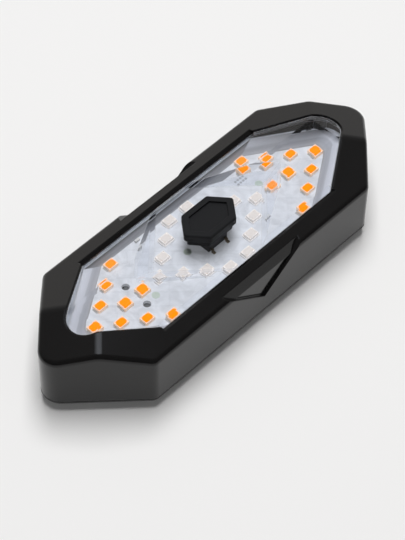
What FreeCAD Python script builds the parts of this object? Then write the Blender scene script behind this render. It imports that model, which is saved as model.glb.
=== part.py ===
import FreeCAD, Part
import math
import os
import Sketcher
from FreeCAD import Rotation, Vector

# Bicycle turn signal light, lying on its back. Sizes in millimetres.
# X runs along the lamp, Y across it, Z up through the lens, with Z = 0 on the face it rests on.
SIZES = {
    # Body outline: a long hexagon with rounded tips
    "half_width": 22.5,
    "corner_reach": 44.5,
    "apex_reach": 68.2,
    "tip_round": 6.0,
    "corner_round": 3.0,
    # Heights of the body
    "plate_height": 3.5,
    "body_height": 18.1,
    "roof_slope": 0.31,
    "hip_reach": 66.8,
    "edge_round": 1.8,
    "hip_round": 5.0,
    "wall": 1.8,
    "roof_wall": 1.9,
    "rim_height": 1.1,
    "rim_chamfer": 0.5,
    "seam_gap": 0.25,
    # Window in the frame, and the bevel along its two long sides
    "window_half": 16.0,
    "window_corner": 34.8,
    "window_apex": 59.3,
    "window_round": 5.8,
    "bevel_width": 1.25,
    "bevel_depth": 1.17,
    "bevel_reach": 35.6,
    "rebate_width": 0.4,
    "rebate_depth": 0.45,
    # Pocket in the shape of a V in each long side
    "vee_half": 14.8,
    "vee_height": 11.0,
    "vee_depth": 0.8,
    "vee_slope_run": 2.4,
    "vee_slope_drop": 2.25,
    # Lens
    "lens_gap": 0.15,
    "lens_drop": 0.5,
    "lens_wall": 1.5,
    "lens_flange": 2.0,
    "lens_ridge": 4.9,
    "skirt_gap": 0.4,
    "gasket_height": 0.3,
    "gasket_inset": 0.3,
    "recess_reach": 22.6,
    "recess_run": 17.35,
    "recess_cross": 16.0,
    "recess_lean": 1.3,
    # Push button
    "cap_reach": 10.15,
    "cap_shoulder": 5.2,
    "cap_half": 6.0,
    "cap_rise": 6.0,
    "cap_height": 2.4,
    "cap_wall": 0.6,
    "cap_roof": 1.2,
    "cap_round": 0.6,
    "cap_corner": 1.0,
    "dish_inset": 2.1,
    "dish_depth": 0.6,
    "stem_radius": 2.3,
    "stem_clearance": 0.4,
    "collar_wall": 0.6,
    "collar_corner": 0.7,
    "collar_rise": 3.1,
    "button_travel": 0.5,
    # Push switch
    "switch_side": 7.6,
    "switch_gap": 0.1,
    "cover_sheet": 0.25,
    "plunger_radius": 1.7,
    "plunger_rise": 1.3,
    "plunger_clearance": 0.35,
    "switch_floor": 0.8,
    "dome_radius": 1.9,
    "dome_height": 0.55,
    "dome_sheet": 0.15,
    "leg_spacing": 5.8,
    "leg_width": 0.9,
    "leg_sheet": 0.3,
    "leg_rise": 1.0,
    "leg_out": 0.9,
    "leg_foot": 0.8,
    # Circuit board
    "board_drop": 4.0,
    "board_sheet": 1.2,
    "board_margin": 1.9,
    "notch_clearance": 0.25,
    "bite_radius": 1.1,
    "bite_x": 4.3,
    "bite_y": 0.2,
    "bite_inner_x": 1.8,
    "bite_inner_y": 3.1,
    "via_radius": 1.2,
    "via_x": 29.6,
    "via_y": 4.2,
    # Light emitters
    "led_length": 3.5,
    "led_width": 2.8,
    "led_height": 1.1,
    "led_border": 0.2,
    "led_sunk": 0.3,
    "arrow_tip": 46.0,
    "arrow_step_x": 6.23,
    "arrow_step_y": 4.1,
    "arrow_shaft_front": 34.1,
    "arrow_shaft_back": 27.3,
    "ring_tip": 20.4,
    "ring_step_x": 5.57,
    "ring_step_y": 4.07,
    # Electronics under the board
    "chip_length": 5.0,
    "chip_width": 4.4,
    "chip_height": 1.2,
    "chip_x": 0.0,
    "chip_y": 8.5,
    "chip_pin_pitch": 1.0,
    "chip_pin_reach": 0.9,
    "chip_pin_width": 0.35,
    "driver_side": 3.0,
    "driver_x": 11.0,
    "driver_y": 9.0,
    "crystal_length": 3.2,
    "crystal_width": 1.5,
    "crystal_height": 0.9,
    "resistor_length": 1.6,
    "resistor_width": 0.8,
    "resistor_height": 0.45,
    "resistor_pitch": 4.0,
    "resistor_y": 13.5,
    "capacitor_length": 3.2,
    "capacitor_width": 2.5,
    "capacitor_height": 1.8,
    "capacitor_pitch": 9.0,
    "capacitor_y": 4.0,
    "radio_length": 14.0,
    "radio_width": 10.0,
    "radio_sheet": 0.8,
    "radio_x": 35.0,
    "can_length": 8.0,
    "can_width": 7.0,
    "can_height": 1.6,
    "antenna_length": 3.2,
    "antenna_width": 1.6,
    "antenna_height": 1.2,
    # Battery
    "cell_length": 50.0,
    "cell_width": 31.0,
    "cell_height": 5.4,
    "cell_round": 1.5,
    "pad_margin": 1.0,
    "pad_height": 0.6,
    "guard_length": 3.0,
    "guard_margin": 3.0,
    "guard_sheet": 0.8,
    "bay_clearance": 0.4,
    "bay_wall": 1.0,
    "bay_height": 4.0,
    "lead_radius": 0.55,
    "lead_spacing": 2.2,
    "lead_bend": 1.6,
    "lead_y": 8.0,
    "plug_length": 3.6,
    "plug_width": 5.6,
    "plug_height": 1.8,
    "header_margin": 0.6,
    # Charging socket and its rubber cover
    "socket_x": 30.0,
    "socket_length": 9.0,
    "socket_depth": 7.3,
    "socket_height": 3.2,
    "socket_sheet": 0.3,
    "socket_setback": 1.0,
    "tongue_length": 6.7,
    "tongue_height": 0.7,
    "tongue_depth": 4.8,
    "flap_length": 12.0,
    "flap_height": 6.0,
    "flap_sheet": 1.0,
    "flap_flush": 0.05,
    "flap_gap": 0.3,
    "flap_knuckle": 0.5,
    "flap_corner": 1.2,
    "flap_plug_length": 7.4,
    "flap_plug_height": 2.0,
    "flap_plug_depth": 0.9,
    "port_length": 10.2,
    "port_height": 4.4,
    "port_pad": 0.7,
    "port_pad_margin": 2.0,
    # Back cover
    "cover_fit": 0.25,
    "cover_sheet_height": 2.3,
    "lip_wall": 1.2,
    "lip_height": 1.6,
    "plate_reach": 40.0,
    "plate_half": 21.0,
    "plate_round": 6.0,
    "plate_edge": 1.0,
    "hollow_length": 9.0,
    "hollow_inner_x": 18.0,
    "hollow_outer_x": 33.0,
    "hollow_half": 12.0,
    "hollow_floor": 1.8,
    "slot_neck": 6.0,
    "slot_head": 10.0,
    "slot_lip": 1.4,
    "slot_depth": 4.4,
    "slot_end": 12.0,
    "latch_length": 5.0,
    "latch_width": 2.5,
    "latch_depth": 0.5,
    "latch_y": 8.0,
    "post_radius": 2.2,
    "post_x": 43.0,
    "post_y": 8.5,
    # Screws and their bosses near the tips
    "boss_x": 55.5,
    "boss_y": 6.5,
    "boss_radius": 2.3,
    "cover_boss_radius": 3.6,
    "cover_boss_height": 1.6,
    "boss_gap": 0.2,
    "screw_radius": 1.0,
    "screw_length": 9.0,
    "screw_clearance": 0.2,
    "pilot_clearance": 0.03,
    "head_radius": 1.75,
    "head_height": 1.3,
    "head_clearance": 0.25,
    "head_sunk": 0.4,
    "cross_length": 2.0,
    "cross_width": 0.5,
    "cross_depth": 0.7,
}

doc = FreeCAD.newDocument("turn_signal")
nodes = {}


class Size:
    """A length with the formula of sheet cells that gives it."""

    def __init__(self, value, text):
        self.value = float(value)
        self.text = text

    def __add__(self, other):
        other = as_size(other)
        return Size(self.value + other.value, f"({self.text} + {other.text})")

    def __sub__(self, other):
        other = as_size(other)
        return Size(self.value - other.value, f"({self.text} - {other.text})")

    def __mul__(self, other):
        other = as_size(other)
        return Size(self.value * other.value, f"({self.text} * {other.text})")

    def __truediv__(self, other):
        other = as_size(other)
        return Size(self.value / other.value, f"({self.text} / {other.text})")

    def __rsub__(self, other):
        return as_size(other) - self

    def __neg__(self):
        return Size(-self.value, f"(-{self.text})")

    __radd__ = __add__
    __rmul__ = __mul__


def as_size(number):
    return number if isinstance(number, Size) else Size(number, f"{number}")


def root(size):
    return Size(math.sqrt(size.value), f"sqrt({size.text})")


def fill_sheet():
    """Write every driving size to the sheet and return them as Size objects by name."""
    sheet = doc.addObject("Spreadsheet::Sheet", "Sizes")
    sizes = {}
    for row, (name, value) in enumerate(SIZES.items(), start=1):
        sheet.set(f"A{row}", name)
        sheet.set(f"B{row}", f"{value}")
        sheet.setAlias(f"B{row}", name)
        sizes[name] = Size(value, f"Sizes.{name}")
    doc.recompute()
    return sizes


class Names:
    """Driving sizes, read as attributes."""

    def __init__(self, sizes):
        self.__dict__.update(sizes)


s = Names(fill_sheet())

# Levels that follow from the driving sizes
edge_z = s.plate_height + s.body_height
rim_top = s.plate_height + s.rim_height
shell_low = rim_top + s.seam_gap
cover_top = s.plate_height + s.cover_sheet_height
board_top = edge_z - s.board_drop
board_low = board_top - s.board_sheet
window_floor = edge_z + s.roof_slope * (s.half_width - s.window_half) - s.bevel_depth
cap_top = edge_z + s.cap_rise
cap_low = cap_top - s.cap_height
switch_height = window_floor - s.lens_wall - s.switch_gap - s.cover_sheet - board_top
switch_top = board_top + switch_height
plunger_top = switch_top + s.cover_sheet + s.plunger_rise
boss_low = cover_top + s.cover_boss_height + s.boss_gap
recess_side = root(s.recess_run * s.recess_run + s.recess_cross * s.recess_cross)
recess_half = s.recess_reach * s.recess_cross / recess_side
recess_turn = Size(math.degrees(math.atan2(s.recess_run.value, s.recess_cross.value)),
                   "atan(Sizes.recess_run / Sizes.recess_cross)")


def bind(item, prop, size):
    """Tie a property to the sheet."""
    item.setExpression(prop, as_size(size).text)


def keep(name, item):
    """Name a finished sub-part."""
    item.Label = name
    nodes[name] = item
    return item


def place(item, x=0, y=0, z=0):
    for axis, size in (("x", x), ("y", y), ("z", z)):
        if isinstance(size, Size) or size:
            bind(item, f"Placement.Base.{axis}", size)
    return item


def hexagon(half, corner, apex, inset=0):
    """Corners of a hexagon that points along X, moved inwards by the inset."""
    run = apex - corner
    side = root(run * run + half * half)
    new_half = half - inset
    new_corner = corner - inset * (side - run) / half
    new_apex = apex - inset * side / half
    return [
        (new_corner, new_half), (new_apex, 0), (new_corner, -new_half),
        (-new_corner, -new_half), (-new_apex, 0), (-new_corner, new_half),
    ]


def body_outline(inset=0):
    return hexagon(s.half_width, s.corner_reach, s.apex_reach, inset)


def window_outline(inset=0):
    return hexagon(s.window_half, s.window_corner, s.window_apex, inset)


def cap_outline(inset=0):
    return hexagon(s.cap_half, s.cap_shoulder, s.cap_reach, inset)


def new_body(name):
    return doc.addObject("PartDesign::Body", name)


def polygon_sketch(body, name, role, points, level=0):
    """A closed polygon whose corners are dimensioned from the origin of a body's plane."""
    plane = [item for item in body.Origin.OriginFeatures if item.Role == role][0]
    sketch = body.newObject("Sketcher::SketchObject", name)
    sketch.AttachmentSupport = [(plane, "")]
    sketch.MapMode = "FlatFace"
    if isinstance(level, Size):
        bind(sketch, "AttachmentOffset.Base.z", level)
    corners = [(as_size(across), as_size(up)) for across, up in points]
    count = len(corners)
    for index in range(count):
        start, end = (Vector(across.value, up.value, 0)
                      for across, up in (corners[index], corners[(index + 1) % count]))
        sketch.addGeometry(Part.LineSegment(start, end), False)
    for index in range(count):
        sketch.addConstraint(Sketcher.Constraint("Coincident", index, 2, (index + 1) % count, 1))
    for index, (across, up) in enumerate(corners):
        for kind, size, axis in (("DistanceX", across, -2), ("DistanceY", up, -1)):
            if size.text == "0":
                sketch.addConstraint(Sketcher.Constraint("PointOnObject", index, 1, axis))
                continue
            number = sketch.addConstraint(Sketcher.Constraint(kind, -1, 1, index, 1, size.value))
            sketch.setExpression(f"Constraints[{number}]", size.text)
    return sketch


def pad(body, name, sketch, length, symmetric=False, backwards=False):
    feature = body.newObject("PartDesign::Pad", name)
    feature.Profile = sketch
    bind(feature, "Length", length)
    if symmetric:
        feature.SideType = "Symmetric"
    feature.Reversed = backwards
    return feature


def pocket_through(body, name, sketch):
    """Cut a sketch through the whole body, both ways."""
    feature = body.newObject("PartDesign::Pocket", name)
    feature.Profile = sketch
    feature.Type = "ThroughAll"
    feature.SideType = "Symmetric"
    return feature


def edge_names(shape, wanted):
    return [f"Edge{number}" for number, edge in enumerate(shape.Edges, start=1)
            if not edge.Degenerated and wanted(edge)]


def is_upright(edge):
    return abs(edge.tangentAt(edge.FirstParameter).z) > 0.999


def round_edges(body, name, wanted, radius, kind="Fillet"):
    """Fillet or chamfer the edges of a body's tip that the test picks."""
    doc.recompute()
    base = body.Tip
    names = edge_names(base.Shape, wanted)
    if not names:
        raise RuntimeError(f"{name} finds no edge")
    feature = body.newObject(f"PartDesign::{kind}", name)
    feature.Base = (base, names)
    bind(feature, "Radius" if kind == "Fillet" else "Size", radius)
    return feature


def prism(name, outline, low, high, tip_round=None, corner_round=None):
    """A hexagonal block with rounded upright edges."""
    body = new_body(name)
    sketch = polygon_sketch(body, f"{name}_outline", "XY_Plane", outline, as_size(low))
    pad(body, f"{name}_pad", sketch, high - low)
    round_upright(body, name, outline, tip_round, corner_round)
    return body


def round_upright(body, name, outline, tip_round, corner_round):
    """Round the two tips and the four corners of a hexagonal block."""
    middle = (outline[0][0].value + outline[1][0].value) / 2
    if tip_round is not None:
        round_edges(body, f"{name}_tips",
                    lambda edge: is_upright(edge) and abs(edge.CenterOfMass.x) > middle, tip_round)
    if corner_round is not None:
        round_edges(body, f"{name}_corners",
                    lambda edge: is_upright(edge) and is_corner(edge, outline), corner_round)


def is_corner(edge, outline):
    corner, half = outline[0]
    point = edge.CenterOfMass
    return math.hypot(abs(point.x) - corner.value, abs(point.y) - half.value) < 0.01


def roofed_block(name, outline, low, high, drop, tip_round, corner_round=None):
    """A hexagonal block under the sloping sides and tips of the frame, lowered by the drop."""
    body = prism(name, outline, low, high, tip_round, corner_round)
    for role, reach in (("YZ_Plane", s.half_width), ("XZ_Plane", s.hip_reach)):
        far = reach * 1.5
        peak = edge_z - drop + s.roof_slope * reach
        foot = peak - s.roof_slope * far
        sky = peak + s.half_width
        points = [(far, foot), (0, peak), (-far, foot), (-far, sky), (far, sky)]
        sketch = polygon_sketch(body, f"{name}_{role[:2]}", role, points)
        pocket_through(body, f"{name}_{role[:2]}_cut", sketch)
    return body


def long_bar(name, role, points, length):
    """A polygon padded both ways from a body's plane."""
    body = new_body(name)
    pad(body, f"{name}_pad", polygon_sketch(body, f"{name}_outline", role, points), length, symmetric=True)
    return body


def box(name, length, width, height, x, y, z):
    """A box centred on x and y that stands on z."""
    item = doc.addObject("Part::Box", name)
    bind(item, "Length", length)
    bind(item, "Width", width)
    bind(item, "Height", height)
    return place(item, x - as_size(length) / 2, y - as_size(width) / 2, z)


def rod(name, radius, height, x, y, z):
    item = doc.addObject("Part::Cylinder", name)
    bind(item, "Radius", radius)
    bind(item, "Height", height)
    return place(item, x, y, z)


def fuse(name, items):
    item = doc.addObject("Part::MultiFuse", name)
    item.Shapes = items
    item.Refine = True
    return item


def cut(name, base, tools):
    item = doc.addObject("Part::Cut", name)
    item.Base = base
    item.Tool = tools[0] if len(tools) == 1 else fuse(f"{name}_tools", tools)
    item.Refine = True
    return item


def common(name, items):
    item = doc.addObject("Part::MultiCommon", name)
    item.Shapes = items
    return item


def group(name, items):
    item = doc.addObject("Part::Compound", name)
    item.Links = items
    return item


def boss_places():
    """The four screw places near the tips."""
    return [(sx * s.boss_x, sy * s.boss_y) for sx in (1, -1) for sy in (1, -1)]


def rods_at_bosses(name, radius, low, high):
    return [rod(f"{name}_{number}", radius, high - low, x, y, low)
            for number, (x, y) in enumerate(boss_places(), start=1)]


def vee_tool(name, side, depth):
    """A prism with the outline of the V pocket, cut into one long side to the depth."""
    body = new_body(name)
    beyond = 1.5
    points = [
        (0, edge_z - s.vee_height),
        (s.vee_half * beyond, edge_z + s.vee_height * (beyond - 1)),
        (-s.vee_half * beyond, edge_z + s.vee_height * (beyond - 1)),
    ]
    # The XZ plane faces -Y, so its offset counts towards -Y
    level = -side * (s.half_width - depth)
    sketch = polygon_sketch(body, f"{name}_outline", "XZ_Plane", points, level)
    pad(body, f"{name}_pad", sketch, depth * 2, backwards=side > 0)
    return body


def vee_slope_tool(name, side):
    """The slope that joins the top of the frame to the floor of the V pocket."""
    inner = s.half_width - s.vee_slope_run
    floor = s.half_width - s.vee_depth
    low = edge_z - s.vee_slope_drop
    sky = edge_z + s.vee_height
    points = [
        (side * inner, edge_z + s.roof_slope * s.vee_slope_run),
        (side * floor, low),
        (side * (s.half_width + s.wall), low),
        (side * (s.half_width + s.wall), sky),
        (side * inner, sky),
    ]
    wedge = long_bar(f"{name}_wedge", "YZ_Plane", points, s.vee_half * 4)
    return common(name, [wedge, vee_tool(f"{name}_vee", side, s.vee_slope_run * 1.5)])


def window_bevel_tool(name, side):
    """The sunk bevel along one long side of the window, with square ends."""
    outer = s.window_half + s.bevel_width
    sky = edge_z + s.half_width
    points = [
        (side * (s.window_half - s.bevel_width), window_floor),
        (side * s.window_half, window_floor),
        (side * outer, edge_z + s.roof_slope * (s.half_width - outer)),
        (side * outer, sky),
        (side * (s.window_half - s.bevel_width), sky),
    ]
    return long_bar(name, "YZ_Plane", points, s.bevel_reach * 2)


def window_tools():
    """The hole of the window, and the shallow step round its edge."""
    sky = edge_z + s.half_width
    hole = prism("window_hole", window_outline(), board_top, sky, s.window_round)
    wide = prism("rebate_wide", window_outline(-s.rebate_width), board_top, sky,
                 s.window_round + s.rebate_width)
    below = roofed_block("rebate_floor", window_outline(-(s.rebate_width * 3)), board_top - s.wall, sky,
                         s.rebate_depth, s.window_round + s.rebate_width * 3)
    return [hole, cut("rebate", wide, [below])]


def front_shell():
    """One black moulding: side walls and the frame round the lens."""
    peak = edge_z + s.roof_slope * s.half_width
    block = roofed_block("shell_block", body_outline(), shell_low, peak, as_size(0), s.tip_round,
                         s.corner_round)
    round_edges(block, "shell_hips", lambda edge: is_hip(block.Tip.Shape, edge), s.hip_round)
    round_edges(block, "shell_top_edge", lambda edge: is_roof_edge(block.Tip.Shape, edge), s.edge_round)
    cavity = roofed_block("shell_cavity", body_outline(s.wall), shell_low - s.wall, peak, s.roof_wall,
                          s.tip_round - s.wall, s.corner_round - s.wall)
    boss_rods = fuse("shell_boss_rods", rods_at_bosses("shell_boss", s.boss_radius, boss_low, peak))
    bosses = common("shell_bosses", [boss_rods, block])
    walls = fuse("shell_walls", [cut("shell_hollow", block, [cavity]), bosses, port_pad()])
    tools = window_tools()
    for side in (1, -1):
        tag = "far" if side > 0 else "near"
        tools.append(window_bevel_tool(f"window_bevel_{tag}", side))
        tools.append(vee_tool(f"vee_{tag}", side, s.vee_depth))
        tools.append(vee_slope_tool(f"vee_slope_{tag}", side))
    tools += rods_at_bosses("pilot", s.screw_radius + s.pilot_clearance, boss_low - s.wall,
                            boss_low + s.screw_length)
    tools += charging_port_tools()
    return keep("front_shell", cut("shell_part", walls, tools))


def is_hip(shape, edge):
    """True for an edge between a sloping side and a sloping tip of the frame."""
    if edge.BoundBox.YLength < s.wall.value:
        return False
    sloping = 0
    for face in shape.ancestorsOfType(edge, Part.Face):
        u, v = face.Surface.parameter(edge.CenterOfMass)
        if 0.5 < abs(face.normalAt(u, v).z) < 0.999:
            sloping += 1
    return sloping == 2


def is_roof_edge(shape, edge):
    """True for an edge between an upright face and the sloping top."""
    if is_upright(edge) or edge.BoundBox.ZMin < edge_z.value - 0.5:
        return False
    upright = 0
    for face in shape.ancestorsOfType(edge, Part.Face):
        u, v = face.Surface.parameter(edge.CenterOfMass)
        if abs(face.normalAt(u, v).z) < 0.001:
            upright += 1
    return upright == 1


# The charging socket hangs under the board, with its mouth behind the wall on the +Y side
socket_low = board_low - s.socket_height
socket_mid = board_low - s.socket_height / 2
socket_mouth = s.half_width - s.wall - s.socket_setback
flap_low = socket_mid - s.flap_height / 2
flap_out = s.half_width - s.flap_flush
flap_in = flap_out - s.flap_sheet
hinge_y = flap_out - s.flap_sheet / 2
hinge_z = flap_low + s.flap_knuckle


def port_pad():
    """Thicker wall behind the bed of the rubber cover."""
    margin = s.port_pad_margin
    inner = s.half_width - s.wall - s.port_pad
    return box("port_pad", s.flap_length + margin * 2, s.port_pad + s.wall / 2, s.flap_height + margin * 2,
               s.socket_x, inner + (s.port_pad + s.wall / 2) / 2, flap_low - margin)


def charging_port_tools():
    """A shallow bed for the rubber cover, and the hole for the plug behind it."""
    bed_in = flap_in - s.flap_gap
    bed = box("port_bed", s.flap_length + s.flap_gap * 2, s.half_width - bed_in + s.wall,
              s.flap_height + s.flap_gap * 2, s.socket_x, (bed_in + s.half_width + s.wall) / 2,
              flap_low - s.flap_gap)
    hole = box("port_hole", s.port_length, s.wall * 4, s.port_height, s.socket_x, s.half_width,
               socket_mid - s.port_height / 2)
    return [bed, hole]


def lens():
    """Clear window: a flange under the frame, a faceted roof and a sunk middle round the button."""
    flange_drop = s.roof_wall + s.gasket_height
    inner_drop = flange_drop + s.lens_wall
    ridge_z = edge_z + s.lens_ridge
    flange = roofed_block("lens_flange_block", window_outline(-s.lens_flange), board_top, ridge_z,
                          flange_drop, s.window_round + s.lens_flange)
    raised = roofed_block("lens_raised", window_outline(s.lens_gap), board_top + s.lens_wall, ridge_z,
                          s.lens_drop, s.window_round - s.lens_gap)
    hollow = roofed_block("lens_hollow", window_outline(-s.skirt_gap), board_top - s.lens_wall,
                          ridge_z - (inner_drop - s.lens_drop), inner_drop, s.window_round + s.skirt_gap)
    hollow_rest = cut("lens_hollow_rest", hollow, [recess_block("lens_floor", s.lens_wall)])
    stem_hole = rod("lens_stem_hole", s.stem_radius + s.stem_clearance + s.collar_wall, s.half_width,
                    0, 0, board_top)
    tools = [hollow_rest, recess_block("lens_recess", as_size(0)), stem_hole]
    tools += rods_at_bosses("lens_notch", s.boss_radius + s.notch_clearance, board_top - s.wall,
                            ridge_z + s.wall)
    for side in (1, -1):
        tools.append(lens_edge_tool(side))
    return keep("lens", cut("lens_part", fuse("lens_block", [flange, raised]), tools))


def lens_edge_tool(side):
    """Slope along the lens's long edge, down to the foot of the frame's bevel."""
    inner = s.window_half - s.lens_gap - s.bevel_width
    outer = s.window_half + s.lens_gap
    sky = edge_z + s.half_width
    points = [
        (side * inner, edge_z + s.roof_slope * (s.half_width - inner) - s.lens_drop),
        (side * (s.window_half - s.lens_gap), window_floor),
        (side * outer, window_floor),
        (side * outer, sky),
        (side * inner, sky),
    ]
    return long_bar(f"lens_edge_{'far' if side > 0 else 'near'}", "YZ_Plane", points, s.bevel_reach * 2)


def recess_block(name, thickness):
    """The sunk middle of the lens: two troughs with leaning sides that cross."""
    reach = recess_half + thickness
    low = window_floor - thickness
    rise = s.half_width
    spread = reach + s.recess_lean * rise
    points = [(reach, low), (spread, low + rise), (-spread, low + rise), (-reach, low)]
    troughs = []
    for side in (1, -1):
        trough = long_bar(f"{name}_trough_{2 - side}", "XZ_Plane", points, s.recess_cross * 6)
        bind(trough, "Placement.Rotation.Angle", side * recess_turn)
        troughs.append(trough)
    return common(name, troughs)


def lens_gasket():
    """A thin seal between the flange of the lens and the underside of the frame."""
    outline = window_outline(-(s.lens_flange - s.gasket_inset))
    wide = window_outline(-(s.lens_flange + s.gasket_inset))
    high = edge_z + s.roof_slope * s.half_width
    tip = s.window_round + s.lens_flange
    upper = roofed_block("gasket_upper", outline, board_top, high, s.roof_wall, tip - s.gasket_inset)
    lower = roofed_block("gasket_lower", wide, board_top - s.wall, high, s.roof_wall + s.gasket_height,
                         tip + s.gasket_inset)
    hole = prism("gasket_hole", window_outline(-s.gasket_inset), board_top - s.wall, high + s.wall,
                 s.window_round + s.gasket_inset)
    notches = rods_at_bosses("gasket_notch", s.boss_radius + s.notch_clearance, board_top, high)
    return keep("lens_gasket", cut("gasket_part", upper, [lower, hole] + notches))


def button_cap():
    """Hexagonal cap with a dished top, a hollow underside and a stem."""
    body = prism("cap_block", cap_outline(), cap_low, cap_top)
    round_edges(body, "cap_corners", is_upright, s.cap_corner)
    round_edges(body, "cap_top_edge", lambda edge: edge.BoundBox.ZMin > cap_top.value - 0.01, s.cap_round)
    dish = prism("cap_dish", cap_outline(s.dish_inset), cap_top - s.dish_depth, cap_top + s.cap_round)
    hollow = prism("cap_hollow", cap_outline(s.cap_wall), cap_low - s.cap_roof, cap_top - s.cap_roof)
    stem = rod("cap_stem", s.stem_radius, cap_top - s.cap_roof / 2 - plunger_top, 0, 0, plunger_top)
    return keep("button_cap", fuse("cap_part", [cut("cap_shell", body, [dish, hollow]), stem]))


def button_collar():
    """Rubber collar seated in the lens, inside the skirt of the cap."""
    clear = s.cap_wall + s.stem_clearance
    tier = prism("collar_tier", cap_outline(clear), window_floor, window_floor + s.collar_rise)
    round_edges(tier, "collar_corners", is_upright, s.collar_corner)
    sleeve = rod("collar_sleeve", s.stem_radius + s.stem_clearance + s.collar_wall, s.lens_wall, 0, 0,
                 window_floor - s.lens_wall)
    bore = rod("collar_bore", s.stem_radius + s.stem_clearance, s.half_width, 0, 0, board_top)
    return keep("button_collar", cut("collar_part", fuse("collar_block", [tier, sleeve]), [bore]))


def push_switch():
    """Switch on the board: body, metal cover, plunger, snap dome and four legs."""
    block = box("switch_block", s.switch_side, s.switch_side, switch_height, as_size(0), as_size(0),
                board_top)
    bore_radius = s.plunger_radius + s.plunger_clearance
    bore = rod("switch_bore", bore_radius, switch_height, 0, 0, board_top + s.switch_floor)
    keep("switch_body", cut("switch_body_part", block, [bore]))
    sheet = box("switch_sheet", s.switch_side, s.switch_side, s.cover_sheet, as_size(0), as_size(0),
                switch_top)
    hole = rod("switch_sheet_hole", bore_radius, switch_height, 0, 0, board_top + s.switch_floor)
    keep("switch_cover", cut("switch_cover_part", sheet, [hole]))
    dome_low = board_top + s.switch_floor
    plunger_low = dome_low + s.dome_height + s.dome_sheet + s.button_travel + s.dome_sheet
    keep("switch_plunger", rod("plunger", s.plunger_radius, plunger_top - plunger_low, 0, 0, plunger_low))
    outer = snap_cap("dome_outer", s.dome_radius, s.dome_height + s.dome_sheet, dome_low)
    inner = snap_cap("dome_inner", s.dome_radius - s.dome_sheet * 2, s.dome_height, dome_low)
    keep("switch_dome", cut("dome_part", outer, [inner]))
    legs = [switch_leg(f"leg_{number}", sx, sy)
            for number, (sx, sy) in enumerate([(1, 1), (1, -1), (-1, 1), (-1, -1)], start=1)]
    keep("switch_legs", group("switch_leg_group", legs))


def snap_cap(name, radius, height, low):
    """A shallow dome: the part above the level of a large ball."""
    ball_radius = (radius * radius + height * height) / (height * 2)
    ball = doc.addObject("Part::Sphere", f"{name}_ball")
    bind(ball, "Radius", ball_radius)
    place(ball, 0, 0, low + height - ball_radius)
    return common(name, [ball, rod(f"{name}_rod", radius, height, 0, 0, low)])


def switch_leg(name, side_x, side_y):
    """A bent metal strip from the side of the switch down to the board."""
    body = new_body(name)
    start = s.switch_side / 2
    knee = start + s.leg_out
    toe = knee + s.leg_foot
    high = board_top + s.leg_rise
    points = [
        (side_y * start, high), (side_y * knee, high), (side_y * knee, board_top + s.leg_sheet),
        (side_y * toe, board_top + s.leg_sheet), (side_y * toe, board_top),
        (side_y * (knee - s.leg_sheet), board_top), (side_y * (knee - s.leg_sheet), high - s.leg_sheet),
        (side_y * start, high - s.leg_sheet),
    ]
    sketch = polygon_sketch(body, f"{name}_outline", "YZ_Plane", points, side_x * s.leg_spacing / 2)
    pad(body, f"{name}_pad", sketch, s.leg_width, symmetric=True)
    return body


def led_board():
    """White board with notches round the screw bosses and two small tooling holes."""
    sheet = prism("board_sheet", window_outline(-s.board_margin), board_low, board_top,
                  s.window_round + s.board_margin)
    holes = rods_at_bosses("board_notch", s.boss_radius + s.notch_clearance, board_low - s.wall,
                           board_top + s.wall)
    for number, (x, y) in enumerate(boss_places(), start=1):
        toward_x, toward_y = math.copysign(1, x.value), math.copysign(1, y.value)
        holes.append(rod(f"board_bite_{number}", s.bite_radius, s.board_sheet * 3, x - toward_x * s.bite_x,
                         y + toward_y * s.bite_y, board_low - s.board_sheet))
        holes.append(rod(f"board_inner_bite_{number}", s.bite_radius, s.board_sheet * 3,
                         x - toward_x * s.bite_inner_x, y - toward_y * s.bite_inner_y,
                         board_low - s.board_sheet))
    for number, side in enumerate((1, -1), start=1):
        holes.append(rod(f"board_via_{number}", s.via_radius, s.board_sheet * 3, -s.via_x,
                         side * s.via_y, board_low - s.board_sheet))
    return keep("led_board", cut("board_part", sheet, holes))


def led(name, x, y):
    """One light emitter: a case with a sunk top, and the window that fills it."""
    case = box(f"{name}_case", s.led_length, s.led_width, s.led_height, x, y, board_top)
    window = box(f"{name}_window", s.led_length - s.led_border * 2, s.led_width - s.led_border * 2,
                 s.led_sunk, x, y, board_top + s.led_height - s.led_sunk)
    return cut(f"{name}_cut", case, [window]), window


def arrow_places(side):
    """An arrowhead of seven emitters and a shaft of two, pointing to one tip."""
    places = [(side * s.arrow_tip, as_size(0))]
    for step in (1, 2, 3):
        for across in (1, -1):
            places.append((side * (s.arrow_tip - s.arrow_step_x * step), across * step * s.arrow_step_y))
    places.append((side * s.arrow_shaft_front, as_size(0)))
    places.append((side * s.arrow_shaft_back, as_size(0)))
    return places


def ring_places():
    """Fourteen emitters in a hexagon round the button."""
    places = []
    for side in (1, -1):
        places.append((side * s.ring_tip, as_size(0)))
        for step in (1, 2, 3):
            for across in (1, -1):
                places.append((side * (s.ring_tip - s.ring_step_x * step), across * step * s.ring_step_y))
    return places


def emitters():
    sets = [
        ("amber_leds_right", "amber_windows_right", arrow_places(1)),
        ("amber_leds_left", "amber_windows_left", arrow_places(-1)),
        ("ring_leds", "ring_windows", ring_places()),
    ]
    for cases_name, windows_name, places in sets:
        pairs = [led(f"{cases_name}_{number}", x, y) for number, (x, y) in enumerate(places, start=1)]
        keep(cases_name, group(f"{cases_name}_group", [case for case, window in pairs]))
        keep(windows_name, group(f"{windows_name}_group", [window for case, window in pairs]))


def hang(name, length, width, height, x, y):
    """A box that hangs from the underside of the board."""
    return box(name, length, width, height, as_size(x), as_size(y), board_low - height)


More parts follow.
